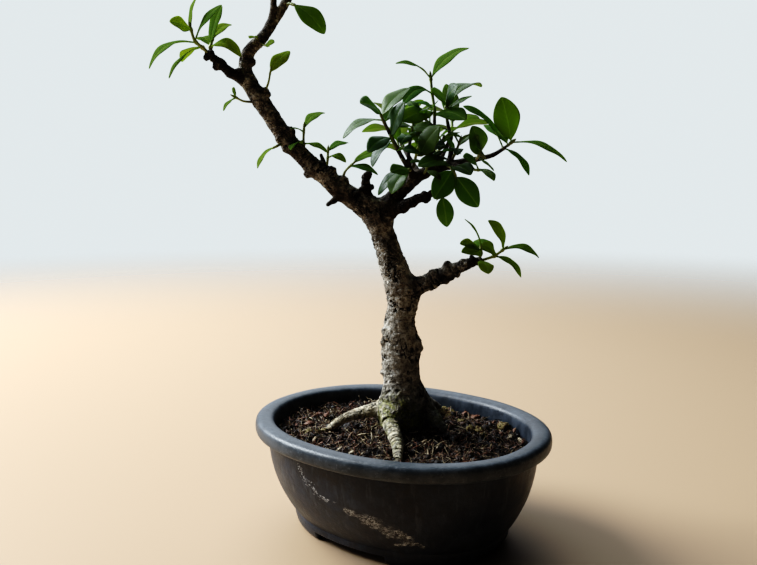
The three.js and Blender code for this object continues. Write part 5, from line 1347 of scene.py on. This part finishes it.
# Each shoot's leaves are one piece, and the green stems of all the shoots together are another.
def makeShoots():
    # Young leaves have yet to grow their wax.
    leaf, dull, stem = leafFinish("leaf", 0.4), leafFinish("young_leaf", 0.0), stemFinish()
    stems, feet, ages = [], [], []
    for number, (name, (age, *shoot)) in enumerate({**shoots, **regularShoots, **fillShoots}.items()):
        random = np.random.default_rng(100 + number)
        leaves = (listedLeaves if name in shoots else ruledLeaves)(*shoot, random)
        points, faces, values = leafSurfaces(leaves, random)
        values["young"] = np.clip(age + 0.5 * (values["seed"] - 0.5), 0, 1)
        material = dull if age >= stemShape["dull"] else leaf
        blades = meshOf(name.replace("shoot", "leaves"), points, faces, material, values)
        finished(blades, "leaf", *([] if name in fillShoots else [name]))
        for places in shoot[0] if name in shoots else shoot[:1]:
            points, faces = stemSurface(places, leaves[:, :3])
            stems.append((points, faces))
            feet.append(np.clip(1 - np.linalg.norm(points - placed(places[0]), axis=1) / 7, 0, 1))
            ages.append(np.full(len(points), age))
    values = {"foot": np.concatenate(feet), "young": np.concatenate(ages)}
    finished(meshOf("shoot_stems", *joined(stems), stem, values), "leaf")


# The netting over the drain holes keeps its solids and takes a dull black finish.
def finishDrainMeshes():
    m = newMaterial("drain_plastic")
    grain = noiseOf(m, 900, 3, 0.6)
    base = mixed(m, grain, (0.010, 0.011, 0.011), (0.030, 0.031, 0.030))
    rough = spread(m, grain, 0.3, 0.7, (0.45, 0.65))
    endWith(m, skin(m, base, rough, 0.5, bumped(m, grain, 0.2, 0.0003)))
    for name in ("drain_mesh_left", "drain_mesh_right"):
        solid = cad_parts[name]
        solid.data.materials.clear()
        solid.data.materials.append(m)


# The room is brightest towards the window, a direction to the right, away and up as seen. tone is a curve
# over the picture's brightness, in steps of what comes in and what goes out.
stage = {"floor": (0.44, 0.315, 0.205), "radius": 2600, "columns": 96, "drop": 0.05, "fade": (0.62, 1.9),
         "background": (0.70, 0.76, 0.78), "backgroundPower": 1.0, "window": (-0.72, 0.62, 0.3),
         "room": (0.86, 0.92, 1.0), "roomPower": 0.012, "windowPower": 0.6,
         "tone": ((0, 0), (0.03, 0.012), (0.13, 0.128), (0.5, 0.58), (1, 1))}
# Soft lights: where each stands from the pot's foot, to the right, away and up as seen, in metres; its size
# and its power in watts; its colour; and the height that it points at.
lights = {"window": ((-1.27, 0.53, 1.15), 1.2, 63, (0.90, 0.96, 1.0), 0.12),
          "above": ((-0.15, 0.75, 1.7), 1.5, 10, (0.84, 0.93, 1.0), 0.1),
          "back": ((-0.3, 1.7, 1.0), 1.6, 5, (0.88, 0.95, 1.0), 0.2)}


# A round floor that fades out with distance, so that it has no edge against the room.
def makeFloor():
    m = newMaterial("pale_floor")
    far = node(m, "VectorMath", {0: place(m)}, operation="LENGTH").outputs["Value"]
    near, clear = skin(m, stage["floor"], 0.6, 0.3), node(m, "BsdfTransparent")
    fade = spread(m, far, *stage["fade"])
    endWith(m, node(m, "MixShader", {0: fade, 1: near.outputs[0], 2: clear.outputs[0]}))
    columns, turn = stage["columns"], circle(stage["columns"])
    ring = np.column_stack([np.cos(turn), np.sin(turn), np.zeros(columns)]) * stage["radius"]
    points = np.vstack([ring, [[0, 0, 0]]]) - [0, 0, stage["drop"]]
    meshOf("floor", points, [poleFaces(0, columns, columns, False)], m, inside=False)


# The room: a pale backdrop to the eye, and to the light brightest on the window's side.
def makeRoom():
    world = bpy.data.worlds.new("room")
    bpy.context.scene.world = world
    world.use_nodes = True
    world.node_tree.nodes.clear()
    look, window = node(world, "TexCoord").outputs["Generated"], tuple(unit(turned(stage["window"])))
    facing = node(world, "VectorMath", {0: look, 1: window}, operation="DOT_PRODUCT").outputs["Value"]
    power = spread(world, facing, -0.1, 0.95, (stage["roomPower"], stage["windowPower"]))
    lit = node(world, "Background", {"Color": stage["room"], "Strength": power})
    shown = node(world, "Background", {"Color": stage["background"], "Strength": stage["backgroundPower"]})
    seenByEye = node(world, "LightPath").outputs["Is Camera Ray"]
    both = node(world, "MixShader", {0: seenByEye, 1: lit.outputs[0], 2: shown.outputs[0]})
    node(world, "OutputWorld", {"Surface": both.outputs[0]})


# Round lights, each turned towards the plant and unseen by the eye.
def makeLights():
    for name, (at, size, watts, colour, height) in lights.items():
        lamp = bpy.data.lights.new(name, "AREA")
        lamp.shape, lamp.size, lamp.energy, lamp.color = "DISK", size, watts, colour
        thing = linked(bpy.data.objects.new(name, lamp))
        thing.location = where = turned(at) + potMiddle
        aim = Vector((potMiddle[0], potMiddle[1], height)) - Vector(where)
        thing.rotation_euler = aim.to_track_quat("-Z", "Y").to_euler()
        thing.visible_camera = False


# The eye, where the places in the picture are seen from.
def makeCamera():
    camera = bpy.data.cameras.new("eye")
    camera.sensor_width, camera.sensor_fit = 36, "HORIZONTAL"
    camera.lens = seen["focal"] / seen["width"] * camera.sensor_width
    camera.clip_start, camera.clip_end = 0.01, 50
    thing = linked(bpy.data.objects.new("eye", camera))
    stand = turned([-seen["potAcross"], -seen["potAway"], seen["eyeHeight"]])
    thing.location = stand / 1000 + potMiddle
    thing.rotation_euler = (math.pi / 2 - seen["tilt"], 0, seen["turn"])
    bpy.context.scene.camera = thing


makeCamera()
makeFloor()
makeRoom()
makeLights()
print("camera, floor, room and lights ready")
makePot()
makeSoil()
makeWood()
makeShoots()
finishDrainMeshes()

scene = bpy.context.scene
scene.view_settings.view_transform = "Standard"
scene.view_settings.look = "None"
scene.view_settings.exposure = 0.0
scene.view_settings.use_curve_mapping = True
toneCurve = scene.view_settings.curve_mapping.curves[3]
toneCurve.points[0].location, toneCurve.points[1].location = stage["tone"][0], stage["tone"][-1]
for point in stage["tone"][1:-1]:
    toneCurve.points.new(*point)
scene.view_settings.curve_mapping.update()
